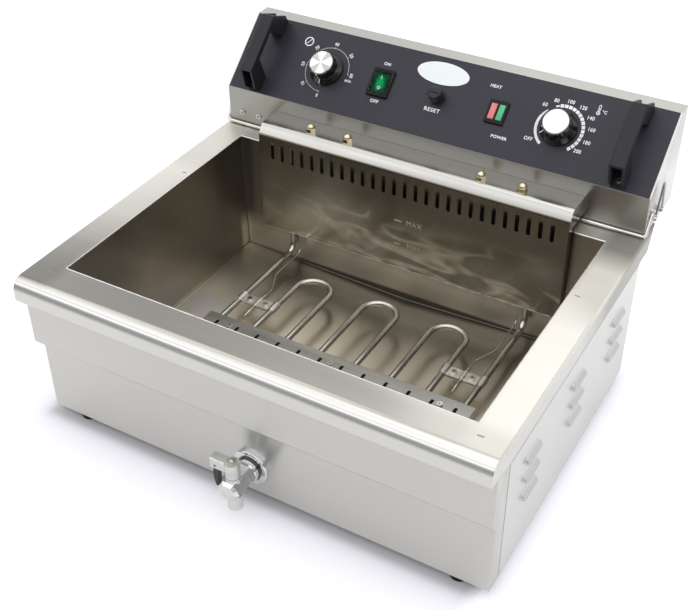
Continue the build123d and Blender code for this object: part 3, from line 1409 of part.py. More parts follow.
# wire rail along the head's front, hooked over a peg on each side
rail_y = HEAD_Y - RAIL_OUT
rail_z = DECK_Z + RAIL_UP
hook_y = HEAD_Y + PEG_Y1
hook_z = DECK_Z + PEG_UP + PEG_R + WIRE_R + SEAM
with BuildPart() as rail:
    half_rail = [
        (RAIL_X, hook_y + PEG_R, hook_z),
        (RAIL_X, hook_y - PEG_R, hook_z),
        (RAIL_X, rail_y, rail_z),
    ]
    rail_points = half_rail + [(-x, y, z) for x, y, z in reversed(half_rail)]
    with BuildLine() as rail_line:
        bent_line(rail_points, [RAIL_BEND, RAIL_BEND, RAIL_BEND, RAIL_BEND])
    with BuildSketch(facing(hook_y + PEG_R)):
        with Locations((RAIL_X, hook_z)):
            Circle(WIRE_R)
    sweep(path=rail_line.wire())

with BuildPart() as rail_pegs:
    for s in (-1, 1):
        with BuildSketch(across(s * HEAD_X)):
            with Locations(*peg_spots):
                Circle(PEG_R)
        extrude(amount=s * PEG_L)
        with BuildSketch(across(s * HEAD_X)):
            with Locations(*peg_spots):
                Circle(PEG_STEM_R)
        extrude(amount=-s * 3 * SHEET)

# hairpin clip over the two pegs of each side
with BuildPart() as rail_clips:
    clip_z = DECK_Z + PEG_UP + PEG_R + CLIP_R + SEAM
    clip_x = HEAD_X + 2 * WIRE_R + CLIP_R + 2 * SEAM
    for s in (-1, 1):
        with BuildLine() as clip_line:
            apex = HEAD_Y + (PEG_Y1 + 2 * PEG_Y2) / 3
            bent_line(
                [
                    (s * clip_x, HEAD_Y + PEG_Y1, clip_z),
                    (s * clip_x, apex, DECK_Z + CLIP_UP),
                    (s * clip_x, HEAD_Y + PEG_Y2, clip_z),
                ],
                [2 * CLIP_R],
            )
        with BuildSketch(Plane(origin=clip_line.wire() @ 0, z_dir=clip_line.wire() % 0)):
            Circle(CLIP_R)
        sweep(path=clip_line.wire())

# slotted strip across the legs, clamped from below
strip_y = BULB_Y - STRIP_AHEAD
clamp_y = BULB_Y + CLAMP_BACK
top_z = LEG_Z + TUBE_R
low_z = LEG_Z - TUBE_R
strip_screw_spots = [(x, strip_y) for x in (-CLAMP_X, 0, CLAMP_X)]
clamp_screw_spots = [(s * CLAMP_X + t * CLAMP_PITCH / 2, clamp_y) for s in (-1, 1) for t in (-1, 1)]
with BuildPart() as support_strip:
    with BuildSketch(level(top_z)):
        with Locations((0, strip_y)):
            RectangleRounded(STRIP_L, STRIP_W, 1.5)
            with GridLocations(STRIP_PITCH, 1, STRIP_SLOTS, 1):
                SlotOverall(STRIP_SLOT_L, STRIP_SLOT_W, rotation=90, mode=Mode.SUBTRACT)
        with Locations(*strip_screw_spots):
            Circle(SCREW_R + RUN_FIT, mode=Mode.SUBTRACT)
    extrude(amount=SHEET)

# clamp plates: two formed halves round each pair of legs and the bulb between, and bars below the strip
with BuildPart() as clamp_plates:
    for s in (-1, 1):
        for way in (-1, 1):
            rounds = [(s * CLAMP_X + t * LEG_STEP / 2, TUBE_R) for t in (-1, 1)] + [(s * CLAMP_X, BULB_R)]
            with BuildSketch(facing(clamp_y + CLAMP_W / 2)):
                with Locations((s * CLAMP_X, LEG_Z)):
                    Rectangle(LEG_STEP, 2 * SHEET + CLAMP_GAP)
                for x, r in rounds:
                    with Locations((x, LEG_Z)):
                        Circle(r + RUN_FIT + SHEET)
                for x, r in rounds:
                    with Locations((x, LEG_Z)):
                        Circle(r + RUN_FIT, mode=Mode.SUBTRACT)
                with Locations((s * CLAMP_X, LEG_Z - way * (LEG_STEP - CLAMP_GAP) / 2)):
                    Rectangle(2 * LEG_STEP, LEG_STEP, mode=Mode.SUBTRACT)
            extrude(amount=CLAMP_W)
    with BuildSketch(level(LEG_Z)):
        with Locations(*clamp_screw_spots):
            Circle(SCREW_R + RUN_FIT)
    extrude(amount=2 * TUBE_R, both=True, mode=Mode.SUBTRACT)
    with BuildSketch(level(low_z)):
        with Locations(*strip_screw_spots):
            RectangleRounded(CLAMP_L, CLAMP_W, 3)
            Circle(SCREW_R + RUN_FIT, mode=Mode.SUBTRACT)
    extrude(amount=-SHEET)

with BuildPart() as clamp_screws:
    seat_z = LEG_Z + CLAMP_GAP / 2 + SHEET
    for spots, z, deep in (
        (strip_screw_spots, top_z + SHEET, 2 * TUBE_R + 3 * SHEET),
        (clamp_screw_spots, seat_z, CLAMP_GAP + 3 * SHEET),
    ):
        with BuildSketch(level(z)):
            with Locations(*spots):
                Circle(SCREW_HEAD_R)
        extrude(amount=SCREW_HEAD_T)
        with BuildSketch(level(z)):
            with Locations(*spots):
                Circle(SCREW_R)
        extrude(amount=-deep)


# sensor bulb with its capillary, up behind the guard and into the head
def sensor(s, ends):
    with BuildPart() as probe:
        with BuildSketch(across(s * CLAMP_X)):
            with BuildLine():
                Polyline(
                    (BULB_Y, LEG_Z),
                    (BULB_Y, LEG_Z + BULB_TIP),
                    (BULB_Y + BULB_TAPER, LEG_Z + BULB_R),
                    (BULB_Y + BULB_L - BULB_R, LEG_Z + BULB_R),
                    (BULB_Y + BULB_L, LEG_Z + BULB_TIP),
                    (BULB_Y + BULB_L, LEG_Z),
                    close=True,
                )
            make_face()
        revolve(axis=Axis((s * CLAMP_X, 0, LEG_Z), (0, 1, 0)))
        with BuildLine() as line:
            x = s * capillary_x
            points = [
                (s * CLAMP_X, BULB_Y + BULB_L - BULB_R, LEG_Z),
                (s * CLAMP_X, BULB_Y + BULB_L + CAPILLARY_LEAD, LEG_Z),
                (x, BULB_Y + BULB_L + CAPILLARY_LEAD + CAPILLARY_SHIFT, LEG_Z),
                (x, RISER_Y, LEG_Z),
                (x, RISER_Y, RUN_Z),
            ] + ends
            bent_line(points, [CAPILLARY_BEND] * (len(points) - 2))
        with BuildSketch(facing(BULB_Y + BULB_L - BULB_R)):
            with Locations((s * CLAMP_X, LEG_Z)):
                Circle(CAPILLARY_R)
        sweep(path=line.wire())
    return probe


def unit_entry(x, u, deep):
    # up behind the unit, then a short lead square to its back face
    end = on_panel(u, ROW_V, FACE_H - behind - deep - SEAM / 2).origin
    corner = end - Vector(*OUT) * CAPILLARY_LEAD
    return [(x, corner.Y, RUN_Z), (x, corner.Y, corner.Z), (x, end.Y, end.Z)]


thermostat_bulb = sensor(1, unit_entry(capillary_x, 2 * CONTROL_STEP, HEAT_T))
limiter_turn = unit_entry(0, 0, LIMITER_T)
limiter_bulb = sensor(-1, [(-capillary_x, limiter_turn[0][1], RUN_Z)] + limiter_turn)

# interlock switch inside the head's front; the lug on the deck holds it closed
with BuildPart() as interlock_switch:
    lock_z = DECK_Z + LUG_H + LEVER_GAP
    with BuildSketch(facing(HEAD_Y + SHEET + SEAM / 2 + LOCK_T)):
        with Locations((LOCK_X, lock_z + LOCK_H / 2)):
            RectangleRounded(LOCK_W, LOCK_H, 1.5)
        with Locations(*lock_spots):
            Circle(SCREW_R + RUN_FIT, mode=Mode.SUBTRACT)
    extrude(amount=LOCK_T)

# cable gland in the head's overhang
with BuildPart() as cable_gland:
    gland = (GLAND_X, BACK_Y - GLAND_BACK)
    with BuildSketch(level(HEAD_Z)):
        with Locations(gland):
            RegularPolygon(GLAND_HEX / 2, 6, major_radius=False)
    extrude(amount=-GLAND_HEX_T)
    with Locations((gland[0], gland[1], HEAD_Z - GLAND_HEX_T)):
        Cone(
            GLAND_CAP_R,
            CORD_R + 2,
            GLAND_CAP_T,
            rotation=(180, 0, 0),
            align=(Align.CENTER, Align.CENTER, Align.MIN),
        )
    with BuildSketch(level(HEAD_Z)):
        with Locations(gland):
            Circle(GLAND_R)
    extrude(amount=SHEET + GLAND_HEX_T)
    with BuildSketch(level(HEAD_Z + SHEET)):
        with Locations(gland):
            RegularPolygon(GLAND_HEX / 2, 6, major_radius=False)
            Circle(GLAND_R - 0.5, mode=Mode.SUBTRACT)
    extrude(amount=GLAND_HEX_T / 2)
    with Locations((gland[0], gland[1], HEAD_Z + SHEET + GLAND_HEX_T)):
        Hole(CORD_R)

pieces = {
    "deck": deck,
    "tank": tank,
    "apron": apron,
    "front_casing": front_casing,
    "side_panel_left": side_panel_left,
    "side_panel_right": side_panel_right,
    "rear_panel": rear_panel,
    "bottom_plate": bottom_plate,
    "feet": feet,
    "drain_pipe": drain_pipe,
    "drain_collar": drain_collar,
    "drain_seal": drain_seal,
    "drain_ring": drain_ring,
    "tap_body": tap_body,
    "tap_bonnet": tap_bonnet,
    "tap_plug": tap_plug,
    "tap_lever": tap_lever,
    "tap_nut": tap_nut,
    "tap_latch": tap_latch,
    "head_casing": head_casing,
    "head_base": head_base,
    "head_rear_cover": head_rear_cover,
    "case_screws": case_screws,
    "fascia_panel": fascia_panel,
    "oval_plate": oval_plate,
    "handle_left": handle_left,
    "handle_right": handle_right,
    "handle_screws": handle_screws,
    "timer_unit": timer_unit,
    "timer_shaft": timer_shaft,
    "timer_knob": timer_knob,
    "timer_cap": timer_cap,
    "thermostat_unit": thermostat_unit,
    "thermostat_shaft": thermostat_shaft,
    "thermostat_knob": thermostat_knob,
    "thermostat_cap": thermostat_cap,
    "switch_housing": switch_housing,
    "switch_rocker": switch_rocker,
    "switch_cover": switch_cover,
    "limiter_unit": limiter_unit,
    "reset_collar": reset_collar,
    "reset_button": reset_button,
    "lamp_housing": lamp_housing,
    "lamp_lens_red": lamp_lens_red,
    "lamp_lens_green": lamp_lens_green,
    "heater_element": heater_element,
    "element_nuts": element_nuts,
    "guard": guard,
    "guard_bracket": guard_bracket,
    "guard_nuts": guard_nuts,
    "rail": rail,
    "rail_pegs": rail_pegs,
    "rail_clips": rail_clips,
    "support_strip": support_strip,
    "clamp_plates": clamp_plates,
    "clamp_screws": clamp_screws,
    "thermostat_bulb": thermostat_bulb,
    "limiter_bulb": limiter_bulb,
    "interlock_switch": interlock_switch,
    "cable_gland": cable_gland,
}
for name, piece in pieces.items():
    piece.part.label = name
    export_step(piece.part, "parts/" + name + ".step")
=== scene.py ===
import json
import math

import bmesh
import bpy
from mathutils import Matrix, Vector
from mathutils.bvhtree import BVHTree


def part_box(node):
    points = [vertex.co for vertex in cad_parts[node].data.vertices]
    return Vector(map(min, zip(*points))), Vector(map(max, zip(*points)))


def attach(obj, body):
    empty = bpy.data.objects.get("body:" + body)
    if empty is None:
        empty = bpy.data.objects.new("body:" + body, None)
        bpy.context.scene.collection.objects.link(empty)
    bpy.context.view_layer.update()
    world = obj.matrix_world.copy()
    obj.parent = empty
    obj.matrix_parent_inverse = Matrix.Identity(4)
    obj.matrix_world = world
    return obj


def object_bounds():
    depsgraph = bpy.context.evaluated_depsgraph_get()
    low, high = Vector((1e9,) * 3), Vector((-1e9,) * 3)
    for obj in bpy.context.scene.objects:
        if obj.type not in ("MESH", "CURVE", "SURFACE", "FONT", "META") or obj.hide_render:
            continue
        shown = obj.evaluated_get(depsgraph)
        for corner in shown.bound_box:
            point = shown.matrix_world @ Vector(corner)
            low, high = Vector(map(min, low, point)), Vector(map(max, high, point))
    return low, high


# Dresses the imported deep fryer: camera, finishes, prints on the panel, small marks, floor and light.
# The frame is in metres. What is drawn on a surface is given in millimetres on that surface.
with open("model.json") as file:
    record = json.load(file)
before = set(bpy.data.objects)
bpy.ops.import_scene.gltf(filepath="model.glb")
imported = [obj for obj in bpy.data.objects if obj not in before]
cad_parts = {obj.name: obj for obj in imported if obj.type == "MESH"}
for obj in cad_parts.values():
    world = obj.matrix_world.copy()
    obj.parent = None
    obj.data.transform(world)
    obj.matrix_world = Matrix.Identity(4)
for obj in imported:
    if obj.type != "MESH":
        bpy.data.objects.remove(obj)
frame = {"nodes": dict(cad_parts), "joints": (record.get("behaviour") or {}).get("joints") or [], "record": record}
cad_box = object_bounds()
nodes = frame["nodes"]
joints = {j["name"]: j for j in frame["joints"]}
MM = 0.001

# The sloping panel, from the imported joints: u runs right, v up the slope from the row of controls, h out of it.
timer_at = Vector(joints["timer_turn"]["pos_m"])
heat_at = Vector(joints["thermostat_turn"]["pos_m"])
rock_at = Vector(joints["switch_rock"]["pos_m"])
OUT = -Vector(joints["timer_turn"]["axis"]).normalized()
RIGHT = Vector((1, 0, 0))
UP = OUT.cross(RIGHT)
ROW = (timer_at + heat_at) / 2
TIMER_U = (timer_at - ROW).x / MM
HEAT_U = (heat_at - ROW).x / MM

# The shared frame's other two directions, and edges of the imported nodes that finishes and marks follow.
BACK, SKYWARD = Vector((0, 1, 0)), Vector((0, 0, 1))
FLANGE_DROP, BELOW_LOUVRES, HEAD_GAP = 0.041, 0.03, 0.0001
flange_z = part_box("deck")[1].z - FLANGE_DROP
nose_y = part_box("deck")[0].y
wrap_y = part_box("apron")[1].y
side_x = max(v.co.x for v in nodes["side_panel_right"].data.vertices if v.co.z < BELOW_LOUVRES)
head_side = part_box("head_casing")[1].x
head_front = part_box("head_casing")[0].y
deck_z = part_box("head_casing")[0].z - HEAD_GAP
guard_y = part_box("guard")[0].y

# Camera, solved from the photo's straight edges.
AZIMUTH, ELEVATION, ROLL = (math.radians(a) for a in (30.130, 37.491, -0.355))
CAMERA_AT = (0.533105, -0.925724, 0.938398)
SENSOR, LENS = 36.0, 58.70
level = math.cos(ELEVATION)
sight = Vector((math.sin(AZIMUTH) * level, -math.cos(AZIMUTH) * level, math.sin(ELEVATION)))
side = (-sight).cross(SKYWARD).normalized()
above = side.cross(-sight)
turned = side * math.cos(ROLL) + above * math.sin(ROLL)
above = above * math.cos(ROLL) - side * math.sin(ROLL)
camera = bpy.data.objects.new("camera", bpy.data.cameras.new("camera"))
camera.data.sensor_width = SENSOR
camera.data.lens = LENS
camera.matrix_world = Matrix.Translation(CAMERA_AT) @ Matrix((turned, above, sight)).transposed().to_4x4()
bpy.context.scene.collection.objects.link(camera)
bpy.context.scene.camera = camera
bpy.context.scene.view_settings.view_transform = "Standard"

# Node helpers.
MIX_A, MIX_B, MIX_OUT = 6, 7, 2  # colour sockets of the Mix node
EVEN = (1, 1, 1)


def put(tree, kind, inputs=None, **settings):
    """A new node; each input is a socket to link or a constant."""
    made = tree.nodes.new("ShaderNode" + kind)
    for key, value in settings.items():
        setattr(made, key, value)
    for key, value in (inputs or {}).items():
        if isinstance(value, bpy.types.NodeSocket):
            tree.links.new(value, made.inputs[key])
        else:
            made.inputs[key].default_value = value
    return made


def here(tree):
    """Place on the piece."""
    return put(tree, "TexCoord").outputs["Object"]


def xyz_of(tree, vector):
    return put(tree, "SeparateXYZ", {"Vector": vector}).outputs


def place(tree, scale=EVEN, turn=(0, 0, 0)):
    """Place on the piece, stretched and turned."""
    return put(tree, "Mapping", {"Vector": here(tree), "Scale": scale, "Rotation": turn}).outputs[0]


def noise(tree, vector, scale, detail=3.0, rough=0.5, twist=0.0):
    given = {"Vector": vector, "Scale": scale, "Detail": detail, "Roughness": rough, "Distortion": twist}
    return put(tree, "TexNoise", given).outputs["Fac"]


def math_of(tree, how, *values):
    return put(tree, "Math", dict(enumerate(values)), operation=how).outputs[0]


def plus(tree, first, *others):
    for other in others:
        first = math_of(tree, "ADD", first, other)
    return first


def times(tree, first, *others):
    for other in others:
        first = math_of(tree, "MULTIPLY", first, other)
    return first


def vector_of(tree, how, *values):
    made = put(tree, "VectorMath", dict(enumerate(values)), operation=how)
    return made.outputs["Value" if how in ("LENGTH", "DOT_PRODUCT") else "Vector"]


def scaled(tree, colour, by):
    return put(tree, "VectorMath", {0: colour, "Scale": by}, operation="SCALE").outputs["Vector"]


def blend(tree, share, first, second):
    """The first colour where share is 0, the second where it is 1."""
    given = {"Factor": share, MIX_A: first, MIX_B: second}
    return put(tree, "Mix", given, data_type="RGBA").outputs[MIX_OUT]


def spread(tree, value, low, high, start=0.3, end=0.7, how="LINEAR"):
    """From low to high while value runs from start to end, level outside."""
    given = {"Value": value, "From Min": start, "From Max": end, "To Min": low, "To Max": high}
    return put(tree, "MapRange", given, interpolation_type=how).outputs[0]


def inverse(tree, share):
    return spread(tree, share, 1.0, 0.0, 0.0, 1.0)


def ramp(tree, value, *stops):
    made = put(tree, "ValToRGB", {"Fac": value})
    line = made.color_ramp.elements
    while len(line) < len(stops):
        line.new(0.5)
    for spot, (at, colour) in zip(line, stops):
        spot.position = at
        spot.color = (*colour, 1.0)
    return made.outputs["Color"]


def relief(tree, shader, height, strength, deep, edge=0.0):
    """Bump of a height, over edges rounded by a radius."""
    given = {"Height": height, "Strength": strength, "Distance": deep}
    if edge:
        given["Normal"] = put(tree, "Bevel", {"Radius": edge}, samples=4).outputs["Normal"]
    tree.links.new(put(tree, "Bump", given).outputs["Normal"], shader.inputs["Normal"])


def shade(colour, by):
    return tuple(c * by for c in colour)


def wear(tree, shader, colour, dull):
    tree.links.new(colour, shader.inputs["Base Color"])
    tree.links.new(dull, shader.inputs["Roughness"])


# Finishes. Each call makes one look; local changes the tone and the dullness with the place on the piece.
looks = {}


def finish_of(name, **sockets):
    mat = bpy.data.materials.new(name)
    mat.use_nodes = True
    tree = mat.node_tree
    shader = tree.nodes["Principled BSDF"]
    for key, value in sockets.items():
        shader.inputs[key.replace("_", " ")].default_value = value
    looks[name] = mat
    return tree, shader


def brushed(name, tint, rough, grain, depth=0.006, edge=0.0008, clouds=7.0,
            long=EVEN, vary=0.02, axis=None, local=None):
    """Steel with long fine scratches along the direction in which grain is smallest."""
    tree, shader = finish_of(name, Metallic=1.0, Anisotropic=0.7 if axis else 0.0)
    streak = noise(tree, place(tree, grain), 1.0, 6.0, 0.62)
    broad = noise(tree, place(tree, long), clouds, 2.0, 0.5, 0.4)
    both = plus(tree, times(tree, streak, 0.5), times(tree, broad, 0.5))
    colour = ramp(tree, both, (0.30, shade(tint, 1 - vary)), (0.70, shade(tint, 1 + vary)))
    dull = spread(tree, both, rough * 0.92, rough * 1.08)
    if local:
        colour, dull = local(tree, colour, dull)
    wear(tree, shader, colour, dull)
    if axis:
        # reflections stretch across the scratches
        across = put(tree, "Tangent", direction_type="RADIAL", axis=axis)
        tree.links.new(across.outputs[0], shader.inputs["Tangent"])
    relief(tree, shader, streak, depth, 0.0003, edge)


def plain_steel(name, tint, rough, swirl, depth, stretch=EVEN, edge=0.0005, fine=0.12, twist=1.6, local=None):
    """Rolled sheet, tube or plating: soft clouds, faint waves and a few fine marks."""
    tree, shader = finish_of(name, Metallic=1.0)
    waves = noise(tree, place(tree, stretch), swirl, 2.0, 0.45, twist)
    marks = noise(tree, place(tree, shade(stretch, 22)), swirl, 3.0, 0.5)
    both = plus(tree, times(tree, waves, 1.0 - fine), times(tree, marks, fine))
    colour = ramp(tree, both, (0.32, shade(tint, 0.90)), (0.70, shade(tint, 1.06)))
    dull = spread(tree, both, rough * 0.8, rough * 1.25)
    if local:
        colour, dull = local(tree, colour, dull)
    wear(tree, shader, colour, dull)
    relief(tree, shader, waves, depth, 0.002, edge)


def moulded(name, tint, rough, grain, depth, coat=0.0, edge=0.0006, soft=0.35, vary=0.2):
    """Moulded plastic or rubber with a fine grain and slight handling marks."""
    tree, shader = finish_of(name, Coat_Weight=coat, Specular_IOR_Level=soft)
    fine = noise(tree, place(tree), grain, 3.0, 0.6)
    broad = noise(tree, place(tree), 26.0, 3.0, 0.55, 0.5)
    both = plus(tree, times(tree, fine, 0.5), times(tree, broad, 0.5))
    colour = ramp(tree, both, (0.3, shade(tint, 1 - vary)), (0.7, shade(tint, 1 + vary)))
    wear(tree, shader, colour, spread(tree, both, rough * 0.85, rough * 1.15))
    relief(tree, shader, fine, depth, 0.0002, edge)


def tinted(name, deep, pale, rough, glow, ribs=0.0, turn=0.0, coat=0.4, soft=0.5, centre=None):
    """Coloured clear plastic with a glow, with moulded ribs or with a brighter centre that is a painted highlight; on
    the rocker the glow is painted light.
    """
    tree, shader = finish_of(
        name, IOR=1.46, Coat_Weight=coat, Specular_IOR_Level=soft, Emission_Strength=glow, Roughness=rough
    )
    cells = noise(tree, place(tree), 160.0, 2.0, 0.5)
    if ribs:
        given = {"Vector": place(tree, EVEN, (turn, 0, 0)), "Scale": ribs, "Distortion": 0.0}
        lines = put(tree, "TexWave", given, bands_direction="Z").outputs["Fac"]
        cells = plus(tree, times(tree, cells, 0.5), times(tree, lines, 0.5))
    # painted highlight: a brighter centre, when given
    if centre is not None:
        inside = vector_of(tree, "SUBTRACT", here(tree), centre)
        far = vector_of(tree, "LENGTH", vector_of(tree, "MULTIPLY", inside, (1.6, 1.0, 1.0)))
        cells = plus(tree, times(tree, cells, 0.2), spread(tree, far, 0.65, 0.1, 0.004, 0.013))
    colour = ramp(tree, cells, (0.25, deep), (0.75, pale))
    tree.links.new(colour, shader.inputs["Base Color"])
    tree.links.new(colour, shader.inputs["Emission Color"])
    relief(tree, shader, cells, 0.10 if centre is None else 0.02, 0.0004)


def turned_face(name, tint, rough, centre, highlight_wedges):
    """Lathe-turned metal: fine rings in the bump, and bright and dark wedges round the centre painted in as the
    highlight that the rings make.
    """
    tree, shader = finish_of(name, Metallic=1.0)
    inside = vector_of(tree, "SUBTRACT", here(tree), centre)
    u = vector_of(tree, "DOT_PRODUCT", inside, RIGHT)
    v = vector_of(tree, "DOT_PRODUCT", inside, UP)
    far = vector_of(tree, "LENGTH", put(tree, "CombineXYZ", {0: u, 1: v}).outputs[0])
    rings = math_of(tree, "SINE", times(tree, far, 9000.0))
    # painted highlight: bright and dark wedges round the centre
    painted_wedge = math_of(tree, "SINE", math_of(tree, "MULTIPLY_ADD", math_of(tree, "ARCTAN2", v, u), 4.0, 0.5))
    uneven = noise(tree, place(tree), 90.0, 2.0)
    both = plus(tree, times(tree, painted_wedge, highlight_wedges), times(tree, uneven, 0.6))
    colour = ramp(tree, both, (0.0, shade(tint, 0.55)), (0.45, tint), (1.0, shade(tint, 1.1)))
    wear(tree, shader, colour, spread(tree, both, rough * 0.8, rough * 1.3, 0.0, 1.0))
    relief(tree, shader, rings, 0.05, 0.0001, 0.0004)


# What follows the place on a piece. Rows of four say: value before, value after, where it starts, where it ends.
# painted shade: the shadow lines along the side panel's seams, and the louvres' darker tone
SEAM_SHADE, SEAM_STRENGTH = (0.10, 0.10, 0.12, 1), 0.8
LOUVRE_SHADE = 0.77


def side_seams(tree, colour, dull):
    """Painted shade: dark lines under the deck's flange and behind the apron's fold, where their shadow falls, and
    darker louvres.
    """
    x, y, z = xyz_of(tree, here(tree))
    below = spread(tree, z, 0.0, 1.0, flange_z - 0.0068, flange_z - 0.0052)
    behind = spread(tree, y, 0.0, 1.0, wrap_y + 0.0080, wrap_y + 0.0066)
    louvre_shade = spread(tree, math_of(tree, "ABSOLUTE", x), 1.0, LOUVRE_SHADE, side_x + 0.0003, side_x + 0.0016)
    line = times(tree, math_of(tree, "MAXIMUM", below, behind), SEAM_STRENGTH)
    return blend(tree, line, scaled(tree, colour, louvre_shade), SEAM_SHADE), dull


RIM_IN, RIM_OUT = 0.237, 0.255
# painted reflections: the brightness of each rim by its place, and a paler neutral nose for its highlight
LEFT_RIM_REFLECTION = (-0.24, 0.22, -0.185, -0.085)
RIGHT_RIM_REFLECTION, RIGHT_RIM_REFLECTION_FALL = (0.10, 0.30, -0.02, 0.05), (0.0, -0.70, 0.085, 0.13)
FRONT_RIM_REFLECTION, FRONT_RIM = (0.0, -0.12, 0.05, 0.18), (1.0, 0.0, -0.21, -0.19)
HEAD_DULL, RIGHT_DULL = (1.0, 2.4, 0.03, 0.11), (0.0, 1.6, -0.03, 0.05)
NOSE_HIGHLIGHT_TINT, FLANGE_TINT = (0.72, 0.715, 0.70, 1), (0.66, 0.655, 0.645, 1)
FLANGE_DULL = 1.65


def deck_folds(tree, colour, dull):
    """Painted reflections: the left rim darker at its front, the right rim lighter mid-way and darker at its back, the
    front rim darker at its right, a paler neutral nose for its highlight. The drop below the nose is neutral grey and
    duller, the rims duller toward the head.
    """
    x, y, z = xyz_of(tree, here(tree))
    left = times(tree, spread(tree, x, 1.0, 0.0, -RIM_OUT, -RIM_IN), spread(tree, y, *LEFT_RIM_REFLECTION))
    right = spread(tree, x, 0.0, 1.0, RIM_IN, RIM_OUT)
    right_reflection = plus(tree, spread(tree, y, *RIGHT_RIM_REFLECTION), spread(tree, y, *RIGHT_RIM_REFLECTION_FALL))
    front = times(tree, spread(tree, x, *FRONT_RIM_REFLECTION), spread(tree, y, *FRONT_RIM))
    colour = scaled(tree, colour, plus(tree, left, times(tree, right, right_reflection), front, 1.0))
    colour = blend(tree, spread(tree, y, 1.0, 0.0, nose_y + 0.006, nose_y + 0.011), colour, NOSE_HIGHLIGHT_TINT)
    below = spread(tree, z, 1.0, 0.0, flange_z + 0.019, flange_z + 0.028)
    colour = blend(tree, below, colour, FLANGE_TINT)
    toward_head = plus(tree, spread(tree, y, *HEAD_DULL), times(tree, right, spread(tree, y, *RIGHT_DULL)))
    return colour, times(tree, dull, times(tree, spread(tree, below, 1.0, FLANGE_DULL, 0.0, 1.0), toward_head))


# painted light and shade on the head's casing: paler ends, darker front
HEAD_END_LIGHT_TINT, HEAD_FRONT_SHADE = (0.63, 0.63, 0.645, 1), 0.70


def head_ends(tree, colour, dull):
    """Painted light and shade: paler ends of the head's casing and a darker front."""
    x, y, _ = xyz_of(tree, here(tree))
    front = spread(tree, y, HEAD_FRONT_SHADE, 1.0, head_front + 0.0006, head_front + 0.004)
    end = spread(tree, math_of(tree, "ABSOLUTE", x), 0.0, 1.0, head_side - 0.0010, head_side - 0.0005)
    return blend(tree, end, scaled(tree, colour, front), HEAD_END_LIGHT_TINT), dull


# painted light and shade in the tank: lighter floor to the front and left, paler foot of the rear wall, darker left
# wall edges
FLOOR_LIT_FRONT = (1.0, -0.60, 0.0, 0.11)
FLOOR_LEFT, FLOOR_LEFT_REAR = (1.5, 0.0, -0.225, -0.14), (1.0, 0.25, 0.0, 0.07)
REAR_WALL, REAR_WALL_FOOT = (0.0, 1.15, 0.120, 0.126), (1.0, 0.0, 0.075, 0.10)
LEFT_WALL = (1.0, 0.0, -0.236, -0.228)
LEFT_WALL_FRONT, LEFT_WALL_REAR = (-0.32, 0.0, -0.11, -0.05), (0.0, -0.42, 0.02, 0.085)
LEFT_WALL_FOOT = (-0.48, 0.0, 0.06, 0.14)


def tank_floor(tree, colour, dull):
    """Painted light and shade: the floor lighter to the front and left, the rear wall's foot paler, the left wall
    darker at its edges.
    """
    x, y, z = xyz_of(tree, here(tree))
    bottom = spread(tree, z, 1.0, 0.0, flange_z - 0.132, flange_z - 0.128)
    corner = times(tree, spread(tree, x, *FLOOR_LEFT), spread(tree, y, *FLOOR_LEFT_REAR))
    lit_floor = plus(tree, spread(tree, y, *FLOOR_LIT_FRONT), corner)
    low_rear = times(tree, spread(tree, y, *REAR_WALL), spread(tree, z, *REAR_WALL_FOOT))
    ends = plus(tree, spread(tree, y, *LEFT_WALL_FRONT), spread(tree, y, *LEFT_WALL_REAR))
    ends = math_of(tree, "MINIMUM", ends, spread(tree, z, *LEFT_WALL_FOOT))
    walls = plus(tree, low_rear, times(tree, spread(tree, x, *LEFT_WALL), ends))
    change = plus(tree, times(tree, bottom, lit_floor), times(tree, walls, inverse(tree, bottom)))
    return scaled(tree, colour, plus(tree, change, 1.0)), dull


# painted reflections on the guard: a darker right part and pale wavy lines
GUARD_RIGHT_SHADE = (0.98, 0.52, -0.12, -0.02)
RIPPLE_REFLECTION_TINT, SHELF_TINT = (0.80, 0.75, 0.64, 1), (0.545, 0.54, 0.515, 1)
RIPPLE_WIDE, RIPPLE_STRENGTH = 0.07, 0.5


def heat_ripples(tree, colour, dull):
    """Painted reflections: pale wavy lines over the lower half of the guard and a darker right part; a neutral tint on
    its shelf.
    """
    x, _, z = xyz_of(tree, here(tree))
    bent = noise(tree, place(tree, (1.0, 1.0, 2.6)), 8.0, 1.5, 0.5, 1.1)
    fold = math_of(tree, "ABSOLUTE", math_of(tree, "SUBTRACT", bent, 0.5))
    line = spread(tree, fold, 1.0, 0.0, 0.0, RIPPLE_WIDE, "SMOOTHSTEP")
    lower = spread(tree, z, 1.0, 0.0, flange_z - 0.045, flange_z)
    colour = scaled(tree, colour, spread(tree, x, *GUARD_RIGHT_SHADE))
    colour = blend(tree, times(tree, line, lower, RIPPLE_STRENGTH), colour, RIPPLE_REFLECTION_TINT)
    return blend(tree, spread(tree, z, 0.0, 1.0, flange_z + 0.050, flange_z + 0.060), colour, SHELF_TINT), dull


brushed("deck_steel", (0.625, 0.605, 0.56), 0.19, (9, 1100, 1100), 0.002, 0.0010, 3.0,
        long=(1, 9, 9), vary=0.045, local=deck_folds)
brushed("casing_steel", (0.60, 0.595, 0.585), 0.32, (7, 900, 900), axis="X")
